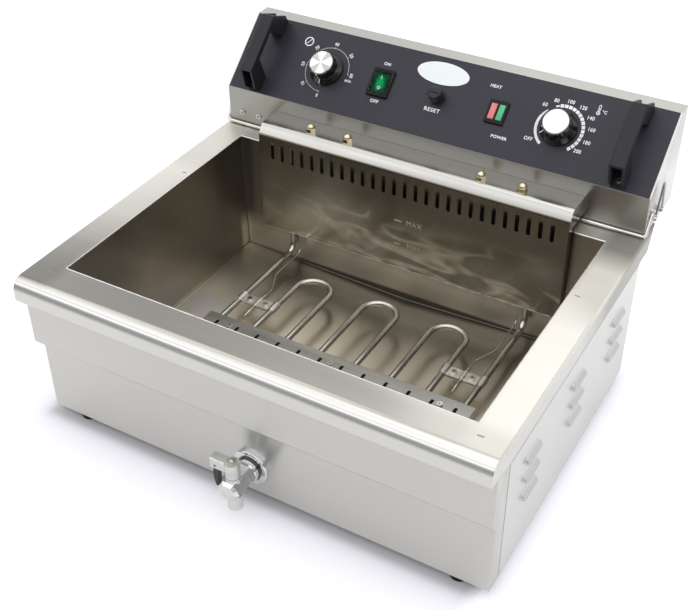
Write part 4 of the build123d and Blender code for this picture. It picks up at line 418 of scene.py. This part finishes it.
# a paler copy of the casing's steel for the side panels: painted light; its grain runs along the panel
brushed("side_steel_lit", (0.70, 0.70, 0.705), 0.32, (900, 7, 900), axis="Y", local=side_seams)
brushed("head_steel", (0.535, 0.52, 0.49), 0.30, (8, 900, 900), axis="X", local=head_ends)
plain_steel("tank_steel", (0.40, 0.37, 0.32), 0.32, 3.2, 0.10, (1.0, 1.0, 0.7),
            fine=0.05, twist=0.5, local=tank_floor)
plain_steel("guard_steel", (0.485, 0.45, 0.385), 0.20, 5.0, 0.12, (1.0, 1.0, 1.8),
            fine=0.05, twist=0.8, local=heat_ripples)
plain_steel("strip_steel", (0.40, 0.385, 0.36), 0.30, 30.0, 0.03, (0.2, 1, 1), 0.0004)
plain_steel("element_steel", (0.58, 0.56, 0.52), 0.22, 18.0, 0.05, (1, 0.3, 1), 0.0)
plain_steel("wire_steel", (0.78, 0.77, 0.74), 0.24, 30.0, 0.04, edge=0.0)
plain_steel("clip_steel", (0.36, 0.35, 0.33), 0.22, 30.0, 0.04, edge=0.0)
plain_steel("fastener_steel", (0.62, 0.61, 0.58), 0.20, 60.0, 0.05)
plain_steel("nut_brass", (0.72, 0.64, 0.45), 0.07, 60.0, 0.05)
plain_steel("nut_dull", (0.50, 0.48, 0.40), 0.16, 60.0, 0.05)
plain_steel("tap_chrome", (0.72, 0.72, 0.73), 0.07, 30.0, 0.03)
plain_steel("lever_zinc", (0.66, 0.675, 0.67), 0.20, 40.0, 0.06)
plain_steel("copper_line", (0.66, 0.63, 0.58), 0.20, 40.0, 0.04, edge=0.0)
plain_steel("bead_steel", (0.86, 0.84, 0.80), 0.30, 50.0, 0.05, edge=0.0)
plain_steel("weld_dark", (0.16, 0.145, 0.12), 0.4, 60.0, 0.1, edge=0.0)
plain_steel("level_steel", (0.68, 0.65, 0.58), 0.55, 40.0, 0.05, edge=0.0)
moulded("fascia_black", (0.020, 0.0195, 0.031), 0.42, 1400.0, 0.05, edge=0.0003, soft=0.4)
moulded("handle_black", (0.0130, 0.0125, 0.0190), 0.42, 1100.0, 0.16, edge=0.0010)
moulded("knob_black", (0.006, 0.006, 0.0065), 0.20, 700.0, 0.04, coat=0.3, soft=0.5)
moulded("switch_black", (0.006, 0.006, 0.007), 0.30, 800.0, 0.05, soft=0.22)
moulded("button_black", (0.020, 0.020, 0.022), 0.30, 900.0, 0.08, edge=0.0008)
moulded("rubber_black", (0.010, 0.010, 0.010), 0.65, 500.0, 0.2, edge=0.001, soft=0.2)
moulded("seal_black", (0.012, 0.011, 0.010), 0.16, 500.0, 0.05, coat=0.5, soft=0.5)
moulded("unit_plastic", (0.16, 0.13, 0.10), 0.5, 500.0, 0.12)
moulded("badge_white", (0.80, 0.85, 0.87), 0.22, 1200.0, 0.02, coat=0.2, edge=0.0003, soft=0.5, vary=0.03)
# painted light: the rocker glows in place of the light that its clear cover holds back; its brighter centre is a
# painted highlight
tinted("rocker_green", (0.0, 0.018, 0.006), (0.0, 0.13, 0.040), 0.22, 1.6, coat=0.0, soft=0.10, centre=rock_at)
tinted("lens_red", (0.42, 0.085, 0.09), (0.70, 0.20, 0.20), 0.16, 0.12, ribs=260.0, turn=-0.73)
tinted("lens_green", (0.012, 0.16, 0.065), (0.07, 0.50, 0.24), 0.16, 0.10, ribs=260.0, turn=-0.73)
turned_face("timer_cap", (0.84, 0.84, 0.83), 0.20, timer_at, 0.5)
turned_face("heat_cap", (0.95, 0.95, 0.95), 0.34, heat_at, 0.1)
moulded("print_white", (0.86, 0.85, 0.90), 0.5, 600.0, 0.02, edge=0.0)
moulded("shade_dark", (0.006, 0.006, 0.006), 0.7, 600.0, 0.05, edge=0.0, soft=0.1)

# the clear cover over the rocker
tree, shader = finish_of("cover_clear", Transmission_Weight=1.0, IOR=1.06, Roughness=0.0, Specular_IOR_Level=0.4)
mist = noise(tree, place(tree), 220.0, 2.0)
clear = ramp(tree, mist, (0.3, (0.93, 0.98, 0.95)), (0.7, (0.98, 1.0, 0.99)))
tree.links.new(clear, shader.inputs["Base Color"])
relief(tree, shader, mist, 0.004, 0.0002)

# nodes whose look is not that of their slot
own = {
    "timer_cap": "timer_cap", "thermostat_cap": "heat_cap",
    "side_panel_left": "side_steel_lit", "side_panel_right": "side_steel_lit",
    "support_strip": "strip_steel", "clamp_plates": "bead_steel", "rail_clips": "clip_steel",
    "drain_seal": "seal_black", "tap_nut": "nut_dull",
}
for row in frame["record"]["subparts"]:
    thing = nodes[row["node"]]
    thing.data.materials.clear()
    thing.data.materials.append(looks[own.get(row["node"], row["material_slot"])])


# Small pieces that the solids leave to the scene. A surface maps (a, b, h), in millimetres, to a point.
def mesh_piece(name, soup, look, body):
    """One mesh from a list of (points, faces)."""
    points, faces = [], []
    for some, loops in soup:
        faces += [[i + len(points) for i in loop] for loop in loops]
        points += [tuple(p) for p in some]
    data = bpy.data.meshes.new(name)
    data.from_pydata(points, [], faces)
    data.validate()
    data.materials.append(looks[look])
    made = bpy.data.objects.new(name, data)
    bpy.context.scene.collection.objects.link(made)
    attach(made, body)


def surface(origin, one, two, out):
    return lambda a, b, h: origin + (one * a + two * b + out * h) * MM


def on_panel(u, v):
    return lambda a, b, h: ROW + (RIGHT * (u + a) + UP * (v + b) + OUT * h) * MM


def circle(radius, degrees):
    return radius * math.cos(math.radians(degrees)), radius * math.sin(math.radians(degrees))


def solid(outline, at, lift, thick):
    """Prism over an outline on a surface."""
    n = len(outline)
    points = [at(a, b, h) for h in (lift, lift + thick) for a, b in outline]
    faces = [list(range(n - 1, -1, -1)), list(range(n, 2 * n))]
    faces += [[i, (i + 1) % n, n + (i + 1) % n, n + i] for i in range(n)]
    return points, faces


def band(at, radius, wide, start, end, lift, thick, steps=None):
    """Flat ring piece on a surface, from one angle to another, in degrees."""
    steps = steps or max(2, int(abs(end - start) / 4))
    turns = [start + (end - start) * i / steps for i in range(steps + 1)]
    inner, outer = radius - wide / 2, radius + wide / 2
    soup = []
    for a, b in zip(turns, turns[1:]):
        outline = [circle(r, t) for r, t in ((inner, a), (outer, a), (outer, b), (inner, b))]
        if end < start:
            outline.reverse()
        soup.append(solid(outline, at, lift, thick))
    return soup


def stroke(at, start, end, wide, lift, thick):
    """Straight bar on a surface."""
    a, b = Vector(start), Vector(end)
    across = (b - a).normalized().orthogonal() * (wide / 2)
    return [solid([a - across, b - across, b + across, a + across][::-1], at, lift, thick)]


LETTER_MERGE, LETTER_FLAT, LETTER_SPACE = 1e-5, 0.02, 1.1


def words(at, text, size, lift, thick, turn=0.0, wide=1.0, weight=0.0):
    """Filled letters on a surface, about its own origin."""
    curve = bpy.data.curves.new("letters", "FONT")
    curve.body, curve.size, curve.align_x, curve.align_y = text, size, "CENTER", "CENTER"
    curve.offset, curve.resolution_u, curve.space_character = weight, 4, LETTER_SPACE
    holder = bpy.data.objects.new("letters", curve)
    flat = bpy.data.meshes.new_from_object(holder)
    shape = bmesh.new()
    shape.from_mesh(flat)
    bmesh.ops.remove_doubles(shape, verts=shape.verts, dist=LETTER_MERGE)
    bmesh.ops.dissolve_limit(shape, angle_limit=LETTER_FLAT, verts=shape.verts, edges=shape.edges)
    lifted = bmesh.ops.extrude_face_region(shape, geom=list(shape.faces))
    top = {v for v in lifted["geom"] if isinstance(v, bmesh.types.BMVert)}
    shape.verts.index_update()
    c, s = circle(1.0, turn)
    points = []
    for v in shape.verts:
        x, y = v.co.x * wide, v.co.y
        points.append(at(x * c - y * s, x * s + y * c, lift + (thick if v in top else 0.0)))
    faces = [[v.index for v in f.verts] for f in shape.faces]
    shape.free()
    bpy.data.objects.remove(holder)
    bpy.data.curves.remove(curve)
    bpy.data.meshes.remove(flat)
    return [(points, faces)]


# prints on the black panel
INK = (0.01, 0.05)  # lift, thickness
prints = []

# timer: a ring with a tick for each minute, clockwise from 0 at the bottom, and a clock sign
TIMER_RING, SHORT_TICK, LONG_TICK, TIMER_NUMBERS = 29.5, 30.4, 31.2, 35.2
ZERO_AT, MINUTE = -90, 4.5  # degrees
at_timer = on_panel(TIMER_U, 0)
prints += band(at_timer, TIMER_RING, 0.3, ZERO_AT, -180, *INK)
prints += band(at_timer, TIMER_RING, 0.3, 180, 0, *INK)
for minute in range(61):
    turn = ZERO_AT - minute * MINUTE
    reach, wide = (LONG_TICK, 0.7) if minute % 10 == 0 else (SHORT_TICK, 0.35)
    prints += stroke(at_timer, circle(TIMER_RING, turn), circle(reach, turn), wide, *INK)
    if minute % 10 == 0:
        u, v = circle(TIMER_NUMBERS, turn)
        prints += words(on_panel(TIMER_U + u, v), str(minute), 6.2, *INK, turn - 90, 0.9, 0.12)
prints += words(on_panel(TIMER_U + 33.5, -7.5), "min", 5.6, *INK, 0, 1.0, 0.12)
at_clock = on_panel(-195, 30.6)
prints += band(at_clock, 5.6, 1.4, 0, 360, *INK)
prints += stroke(at_clock, (-0.3, -0.4), (2.3, 3.6), 1.1, *INK)
prints += stroke(at_clock, (0.3, 0.3), (-2.5, -2.6), 1.1, *INK)

# thermostat: a band that narrows toward 60, then blocks, and a thermometer sign
HEAT_RING, HEAT_WIDE, BLOCK_RING, BLOCK_WIDE = 27.6, 3.4, 28.0, 4.0
OFF_AT = 214
TAPER_FROM, TAPER, TAPER_STEPS = 165, 28, 12
BLOCKS, BLOCK_FROM, BLOCK_PITCH, BLOCK_LONG = 16, 117, 10.6, 8.6
at_heat = on_panel(HEAT_U, 0)
prints += band(at_heat, HEAT_RING, HEAT_WIDE, 236, TAPER_FROM, *INK)
for i in range(TAPER_STEPS):
    share, following = i / TAPER_STEPS, i / TAPER_STEPS + 1 / TAPER_STEPS
    start, end = TAPER_FROM - TAPER * share, TAPER_FROM - TAPER * following
    prints += band(at_heat, HEAT_RING, HEAT_WIDE - 2.4 * share, start, end, *INK, 1)
for i in range(BLOCKS):
    start = BLOCK_FROM - i * BLOCK_PITCH
    prints += band(at_heat, BLOCK_RING, BLOCK_WIDE - (2.0 if i == 0 else 0.0), start, start - BLOCK_LONG, *INK, 3)
for text, turn, far in (
    ("60", 137, 35.5), ("80", 114, 35.0), ("100", 86, 34.5), ("120", 59, 36.0), ("140", 34, 37.5),
    ("160", 12, 37.5), ("180", -13, 37.5), ("200", -35, 36.5), ("OFF", OFF_AT, 37.0),
):
    u, v = circle(far, turn)
    prints += words(on_panel(HEAT_U + u, v), text, 6.4, *INK, 0, 0.9, 0.13)
at_glass = on_panel(193, 29.0)
prints += band(at_glass, 2.0, 0.8, 0, 360, *INK, 24)
prints += band(at_glass, 0.5, 0.9, 0, 360, *INK, 12)
prints += stroke(at_glass, (-1.1, 1.6), (-1.1, 9.0), 0.7, *INK)
prints += stroke(at_glass, (1.1, 1.6), (1.1, 9.0), 0.7, *INK)
prints += band(on_panel(193, 38.0), 1.1, 0.7, 0, 180, *INK, 12)
prints += stroke(at_glass, (0, 2.0), (0, 6.0), 0.5, *INK)
prints += words(on_panel(200, 31.5), "°C", 5.4, *INK, 0, 1.0, 0.12)

for text, u, v, size in (
    ("ON", -79.5, 25.9, 5.4), ("OFF", -78, -24.2, 5.8), ("RESET", -1.6, -16.7, 7.0),
    ("HEAT", 65, 31.3, 5.2), ("POWER", 91, -28.7, 5.2),
):
    prints += words(on_panel(u, v), text, size, *INK, 0, 1.05, 0.14)
mesh_piece("panel_prints", prints, "print_white", "head")


def ground_of(name):
    """Search tree over a node's mesh, in the shared frame."""
    data = nodes[name].data
    return BVHTree.FromPolygons([v.co.copy() for v in data.vertices], [list(p.vertices) for p in data.polygons])


def grid_faces(rows, around):
    """Faces of a closed strip of rows, each of so many points, with both ends capped."""
    faces = []
    for i in range(rows - 1):
        first, following = around * i, around * (i + 1)
        for k in range(around):
            n = (k + 1) % around
            faces.append([first + k, first + n, following + n, following + k])
    faces += [list(range(around - 1, -1, -1)), [around * (rows - 1) + k for k in range(around)]]
    return faces


# pointer lines on the knobs, laid down on their surface
POINTER_FROM, POINTER_STEP, POINTER_ROWS, POINTER_HALF = 15.9, 0.2, 33, 0.55
POINTER_TOP, POINTER_FOOT, POINTER_LOWEST = 0.00012, 0.00004, 0.0005
KNOB_PROBE, ROCKER_PROBE = 0.05, 0.03  # how far out the search for the surface starts


def pointer(name, centre, turn, knob, body):
    ground = ground_of(knob)
    c, s = circle(1.0, turn)
    along, across = RIGHT * c + UP * s, UP * c - RIGHT * s

    def height(r, w):
        hit = ground.ray_cast(centre + along * (r * MM) + across * (w * MM) + OUT * KNOB_PROBE, -OUT)
        return (hit[0] - centre).dot(OUT) if hit[0] else 0.0

    points = []
    for i in range(POINTER_ROWS):
        r = POINTER_FROM + i * POINTER_STEP
        h = max([height(r - d, w) for d in (0.0, 0.3) for w in (-0.5, 0.0, 0.5)] + [POINTER_LOWEST])
        for w, lift in (
            (-POINTER_HALF, POINTER_TOP), (POINTER_HALF, POINTER_TOP),
            (POINTER_HALF, POINTER_FOOT), (-POINTER_HALF, POINTER_FOOT),
        ):
            points.append(centre + along * (r * MM) + across * (w * MM) + OUT * (h + lift))
    mesh_piece(name, [(points, grid_faces(POINTER_ROWS, 4))], "print_white", body)


pointer("timer_pointer", timer_at, ZERO_AT, "timer_knob", "timer_dial")
pointer("thermostat_pointer", heat_at, OFF_AT, "thermostat_knob", "thermostat_dial")

# marks on the rocker: a stroke on its upper half, a ring on its lower half
rocker = ground_of("switch_rocker")
ROCKER_INK = (0.02, 0.06)


def on_rocker(v):
    def at(a, b, h):
        start = rock_at + (RIGHT * a + UP * (v + b)) * MM + OUT * ROCKER_PROBE
        return rocker.ray_cast(start, -OUT)[0] + OUT * (h * MM)
    return at


marks = stroke(on_rocker(6.2), (0, -2.1), (0, 2.1), 0.8, *ROCKER_INK)
marks += band(on_rocker(-6.8), 1.8, 0.65, 0, 360, *ROCKER_INK, 20)
mesh_piece("rocker_marks", marks, "print_white", "rocker")


# painted shade: dark crosses for the screws' recesses and a dark stroke for the reset button's slot
def groups(name):
    """The separate solids of a node, each as its points."""
    shape = bmesh.new()
    shape.from_mesh(nodes[name].data)
    bmesh.ops.remove_doubles(shape, verts=shape.verts, dist=1e-6)
    left, found = set(shape.verts), []
    for first in shape.verts:
        if first not in left:
            continue
        left.remove(first)
        some, edge = [], [first]
        while edge:
            v = edge.pop()
            some.append(v.co.copy())
            for e in v.link_edges:
                o = e.other_vert(v)
                if o in left:
                    left.remove(o)
                    edge.append(o)
        found.append(some)
    shape.free()
    return found


CROSS_WIDE, SAME_HEIGHT = 0.45, 1e-5


def recesses(name, node, facing, size, body):
    """A dark cross of painted shade on the head of each screw of a node, where its recess lies."""
    soup = []
    for points in groups(node):
        direction = facing(points)
        far = max(p.dot(direction) for p in points)
        top = [p for p in points if p.dot(direction) > far - SAME_HEIGHT]
        one = direction.orthogonal().normalized()
        at = surface(sum(top, Vector()) / len(top), one, direction.cross(one), direction)
        soup += stroke(at, (-size, 0), (size, 0), size * CROSS_WIDE, 0.0, 0.04)
        soup += stroke(at, (0, -size), (0, size), size * CROSS_WIDE, 0.0, 0.05)
    mesh_piece(name, soup, "shade_dark", body)


def case_screw_facing(points):
    return -BACK if min(p.y for p in points) < head_front else BACK


recesses("handle_screw_recesses", "handle_screws", lambda points: OUT, 1.9, "head")
recesses("case_screw_recesses", "case_screws", case_screw_facing, 2.0, "head")
recesses("clamp_screw_recesses", "clamp_screws", lambda points: SKYWARD, 1.5, "head")

press = max(v.co.dot(OUT) for v in nodes["reset_button"].data.vertices)
crown = ROW + OUT * (press - ROW.dot(OUT))
crown.x = (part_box("reset_button")[0].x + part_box("reset_button")[1].x) / 2
# painted shade: a dark stroke for the button's slot
groove = stroke(surface(crown, RIGHT, UP, OUT), (-6.2, 0), (6.2, 0), 1.5, 0.0, 0.05)
mesh_piece("reset_slot", groove, "rubber_black", "reset")

# level marks raised on the guard's face: a stroke left of the middle, the word right of it
LEVEL = (0.0, 0.5)
WORD_AT = 14 * MM
levels = []
for text, down in (("MAX", 46), ("MIN", 80)):
    z = deck_z - down * MM
    levels += stroke(surface(Vector((0, guard_y, z)), RIGHT, SKYWARD, -BACK), (-13, 0), (-3, 0), 1.4, *LEVEL)
    levels += words(surface(Vector((WORD_AT, guard_y, z)), RIGHT, SKYWARD, -BACK), text, 9.5, *LEVEL)
mesh_piece("level_marks", levels, "level_steel", "head")


# round beads along lines: the tank's welds; bright beads along the tank's rim and under the guard, which paint the
# highlights of their edges
WOBBLE, WOBBLE_STEP = 0.1, 2.3


def bead(start, end, steps, radius, sides=6):
    rows = [start.lerp(end, i / steps) for i in range(steps + 1)]
    points = []
    for i, row in enumerate(rows):
        along = (rows[min(i + 1, steps)] - rows[max(i - 1, 0)]).normalized()
        one = along.orthogonal().normalized()
        two = along.cross(one)
        size = radius * (1.0 + WOBBLE * math.sin(i * WOBBLE_STEP))
        for k in range(sides):
            turn = k * math.tau / sides
            points.append(row + (one * math.cos(turn) + two * math.sin(turn)) * size)
    return points, grid_faces(len(rows), sides)


BEAD, GLINT_RADIUS = 0.0008, 0.0007
RIM_DROP, WELD_STOP, GLINT_IN = 0.0004, 0.002, 0.0006
TANK_EDGE, TANK_SHEET, TANK_DIP, TANK_LEAN = 0.012, 0.0012, 0.0095, math.radians(1.5)
tank_low, tank_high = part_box("tank")
left, right = tank_low.x + TANK_EDGE, tank_high.x - TANK_EDGE
front, rear = tank_low.y + TANK_EDGE, tank_high.y - TANK_EDGE


def corners(inset, z):
    """The tank's corners, in order round it."""
    return [
        Vector((left + inset, front + inset, z)), Vector((right - inset, front + inset, z)),
        Vector((right - inset, rear - inset, z)), Vector((left + inset, rear - inset, z)),
    ]


# painted highlight: a bright bead along the tank's rim, for its edge
ring = corners(0.0, deck_z - RIM_DROP)
rim = [bead(a, b, 60, BEAD) for a, b in zip(ring, ring[1:] + ring[:1])]
mesh_piece("rim_highlight_bead", rim, "bead_steel", "base")

floor_z = tank_low.z + TANK_SHEET + TANK_DIP
foot = corners(math.tan(TANK_LEAN) * (deck_z - floor_z), floor_z)
dip = Vector((0, 0, -TANK_DIP))
front_dip, rear_dip = (foot[0] + foot[1]) / 2 + dip, (foot[2] + foot[3]) / 2 + dip
lines = [
    (foot[0], foot[3]), (foot[1], foot[2]), (foot[0], front_dip),
    (front_dip, foot[1]), (foot[3], rear_dip), (rear_dip, foot[2]),
]
lines += [(a, b - SKYWARD * WELD_STOP) for a, b in zip(foot, ring)]
mesh_piece("tank_welds", [bead(a, b, 24, BEAD) for a, b in lines], "weld_dark", "base")

# painted highlight: a bright bead along the guard's lower edge
guard_low, guard_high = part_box("guard")
glint_y = guard_low.y + GLINT_IN
guard_glint = bead(Vector((guard_low.x, glint_y, guard_low.z)), Vector((guard_high.x, glint_y, guard_low.z)), 60, GLINT_RADIUS)
mesh_piece("guard_edge_highlight", [guard_glint], "bead_steel", "head")


# painted shade: dark sheets in the strip's slots and grey ones in the stamped marks in the rim, where shade lies
def stadium(long, wide):
    """Outline of a slot that lies along b."""
    half = []
    for turn in range(0, 181, 20):
        a, b = circle(wide, turn)
        half.append((a, long + b))
    return half + [(-a, -b) for a, b in half]


SLOTS, SLOT_MARGIN = 12, 0.0374
strip_low, strip_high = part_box("support_strip")
middle, pitch = (strip_low + strip_high) / 2, (strip_high.x - strip_low.x - SLOT_MARGIN) / (SLOTS - 1)
shade_sheets = []
for i in range(SLOTS):
    x = middle.x + (i - (SLOTS - 1) / 2) * pitch
    at = surface(Vector((x, middle.y, strip_low.z)), RIGHT, BACK, SKYWARD)
    shade_sheets.append(solid(stadium(2.5, 1.95), at, 0.3, 0.6))
mesh_piece("strip_slot_shade", shade_sheets, "shade_dark", "head")

MARK_BESIDE, MARKS_BEHIND = 0.009125, (-0.015, 0.229)
shade_sheets = []
for x in (left - MARK_BESIDE, right + MARK_BESIDE):
    for behind in MARKS_BEHIND:
        at = surface(Vector((x, front + behind, deck_z)), -BACK, RIGHT, SKYWARD)
        shade_sheets.append(solid(stadium(2.2, 1.1), at, -0.45, 0.06))
mesh_piece("rim_mark_shade", shade_sheets, "clip_steel", "base")

# Floor. Its white and the painted shadow beside the casing are for the camera; the steel sees paper with a weak glow.
casing_low, casing_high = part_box("front_casing")[0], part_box("rear_panel")[1]
middle_y = (casing_low.y + casing_high.y) / 2
half = (-casing_low.x, (casing_high.y - casing_low.y) / 2, 1)
# glow by the distance from the casing, in millimetres; none close to it, which paints the shadow there
RISE_END = 150
RISE = (
    (0, 0.0), (3, 0.0), (8, 0.13), (13, 0.29), (18, 0.375),
    (24, 0.43), (30, 0.465), (45, 0.49), (62, 0.50), (RISE_END, 0.62),
)
PAPER = ((0.3, (0.865, 0.86, 0.85)), (0.7, (0.885, 0.88, 0.87)))
PAPER_SEEN = ((0.3, (0.86, 0.845, 0.89)), (0.7, (0.88, 0.865, 0.91)))
PAINTED_SHADOW_TINT = ((0.0, (0.90, 0.88, 1.0)), (1.0, (1.0, 1.0, 1.0)))


def floor_look():
    mat = bpy.data.materials.new("floor_white")
    mat.use_nodes = True
    tree = mat.node_tree
    tree.nodes.remove(tree.nodes["Principled BSDF"])
    path = put(tree, "LightPath").outputs
    seen = path["Is Camera Ray"]
    # distance from the casing's outline; on its right the painted shadow is wider and paler
    spot = vector_of(tree, "ABSOLUTE", vector_of(tree, "SUBTRACT", here(tree), (0, middle_y, 0)))
    spot = vector_of(tree, "MAXIMUM", vector_of(tree, "SUBTRACT", spot, half), (0, 0, 0))
    away = vector_of(tree, "LENGTH", spot)
    right = spread(tree, xyz_of(tree, here(tree))[0], 0.0, 1.0, half[0] - 0.025, half[0] - 0.008)
    near = plus(tree, times(tree, away, spread(tree, right, 1.0, 0.36, 0.0, 1.0)), times(tree, right, 0.011))
    rise = [(d / RISE_END, (g, g, g)) for d, g in RISE]
    # painted shadow: to the camera the paper glows less near the casing
    paler = times(tree, seen, ramp(tree, spread(tree, near, 0.0, 1.0, 0.0, RISE_END * MM), *rise))
    # paper
    grain = noise(tree, place(tree), 3.0, 2.0)
    white = blend(tree, seen, ramp(tree, grain, *PAPER), ramp(tree, grain, *PAPER_SEEN))
    # painted shade: to the camera the paper is darker, less so on the casing's right; the glow whitens it away from
    # the casing
    darker = times(tree, seen, spread(tree, right, 1.0, 0.25, 0.0, 1.0))
    paper = put(tree, "BsdfDiffuse", {"Color": scaled(tree, white, spread(tree, darker, 1.0, 0.62, 0.0, 1.0))})
    # glow
    bounced = math_of(tree, "MAXIMUM", path["Is Glossy Ray"], path["Is Transmission Ray"])
    mirrored = times(tree, bounced, spread(tree, right, 0.06, 0.14, 0.0, 1.0))
    # painted shadow tint: a bluish glow near the casing
    shadow_tint = ramp(tree, spread(tree, away, 0.0, 1.0, 0.0, 0.06), *PAINTED_SHADOW_TINT)
    glow = put(tree, "Emission", {"Color": shadow_tint, "Strength": plus(tree, paler, mirrored)})
    both = put(tree, "AddShader", {0: paper.outputs[0], 1: glow.outputs[0]})
    tree.links.new(both.outputs[0], tree.nodes["Material Output"].inputs["Surface"])
    return mat


FLOOR_LEFT_X, FLOOR_RIGHT_X, FLOOR_FRONT_Y, FLOOR_REAR_Y, FLOOR_GAP = -3, 1.3, -0.72, 3, 0.0002
sheet = bpy.data.meshes.new("floor")
sheet.from_pydata(
    [(FLOOR_LEFT_X, FLOOR_FRONT_Y, 0), (FLOOR_RIGHT_X, FLOOR_FRONT_Y, 0),
     (FLOOR_RIGHT_X, FLOOR_REAR_Y, 0), (FLOOR_LEFT_X, FLOOR_REAR_Y, 0)],
    [], [(0, 1, 2, 3)],
)
sheet.materials.append(floor_look())
floor = bpy.data.objects.new("floor", sheet)
floor.location.z = cad_box[0].z - FLOOR_GAP
bpy.context.scene.collection.objects.link(floor)

# World: a studio of brighter and darker bands, each (height of the direction, brightness), white to the camera.
SKY_LOW, SKY_HIGH = -0.2, 1.0
UPPER = ((0.75, 1.3), (0.80, 1.3), (0.83, 0.9), (0.86, 0.9), (0.89, 1.4), (1.0, 1.3))
REAR_LEFT = ((-0.2, 0.9), (0.30, 1.0), (0.43, 1.2), (0.47, 1.6), (0.50, 1.6), (0.548, 0.27), (0.68, 0.30))
REAR_RIGHT = ((-0.2, 0.9), (0.30, 1.0), (0.43, 1.15), (0.47, 1.4), (0.49, 1.4), (0.545, 0.72), (0.68, 0.72))
FORE = (
    (-0.2, 0.45), (0.05, 0.38), (0.30, 0.40), (0.40, 1.6), (0.55, 1.6),
    (0.58, 0.9), (0.64, 0.9), (0.67, 1.4), (0.86, 1.4), (1.0, 1.3),
)
world = bpy.data.worlds.new("studio")
bpy.context.scene.world = world
world.use_nodes = True
tree = world.node_tree
across, along, upward = xyz_of(tree, put(tree, "TexCoord").outputs["Generated"])
height = spread(tree, upward, 0.0, 1.0, SKY_LOW, SKY_HIGH)


def bands(*stops):
    """Grey by height, halved so that the ramp holds values over 1."""
    return ramp(tree, height, *[((z - SKY_LOW) / (SKY_HIGH - SKY_LOW), (g / 2, g / 2, g / 2)) for z, g in stops])


behind = blend(
    tree, spread(tree, across, 0.0, 1.0, -0.58, -0.28), bands(*REAR_LEFT, *UPPER), bands(*REAR_RIGHT, *UPPER)
)
sky = blend(tree, spread(tree, along, 0.0, 1.0, -0.2, 0.25), bands(*FORE), behind)
# twice the halved grey, less low on the right
aside = times(tree, spread(tree, across, 0.0, 1.0, 0.45, 0.8), spread(tree, upward, 1.0, 0.0, 0.1, 0.35))
sky = scaled(tree, sky, spread(tree, aside, 2.0, 1.2, 0.0, 1.0))
seen = put(tree, "LightPath").outputs["Is Camera Ray"]
tree.links.new(blend(tree, seen, sky, (1, 1, 1, 1)), tree.nodes["Background"].inputs["Color"])


def softbox(name, at, aim, wide, tall, power):
    data = bpy.data.lights.new(name, "AREA")
    data.shape, data.size, data.size_y, data.energy = "RECTANGLE", wide, tall, power
    made = bpy.data.objects.new(name, data)
    made.location = at
    made.rotation_euler = (Vector(aim) - Vector(at)).to_track_quat("-Z", "Y").to_euler()
    bpy.context.scene.collection.objects.link(made)


softbox("key", (0.1, -0.1, 2.5), (0, 0, 0.15), 1.6, 1.4, 4)
softbox("behind", (-0.36, 1.81, 1.92), (0.1, -0.05, 0.2), 0.8, 0.65, 1.3)
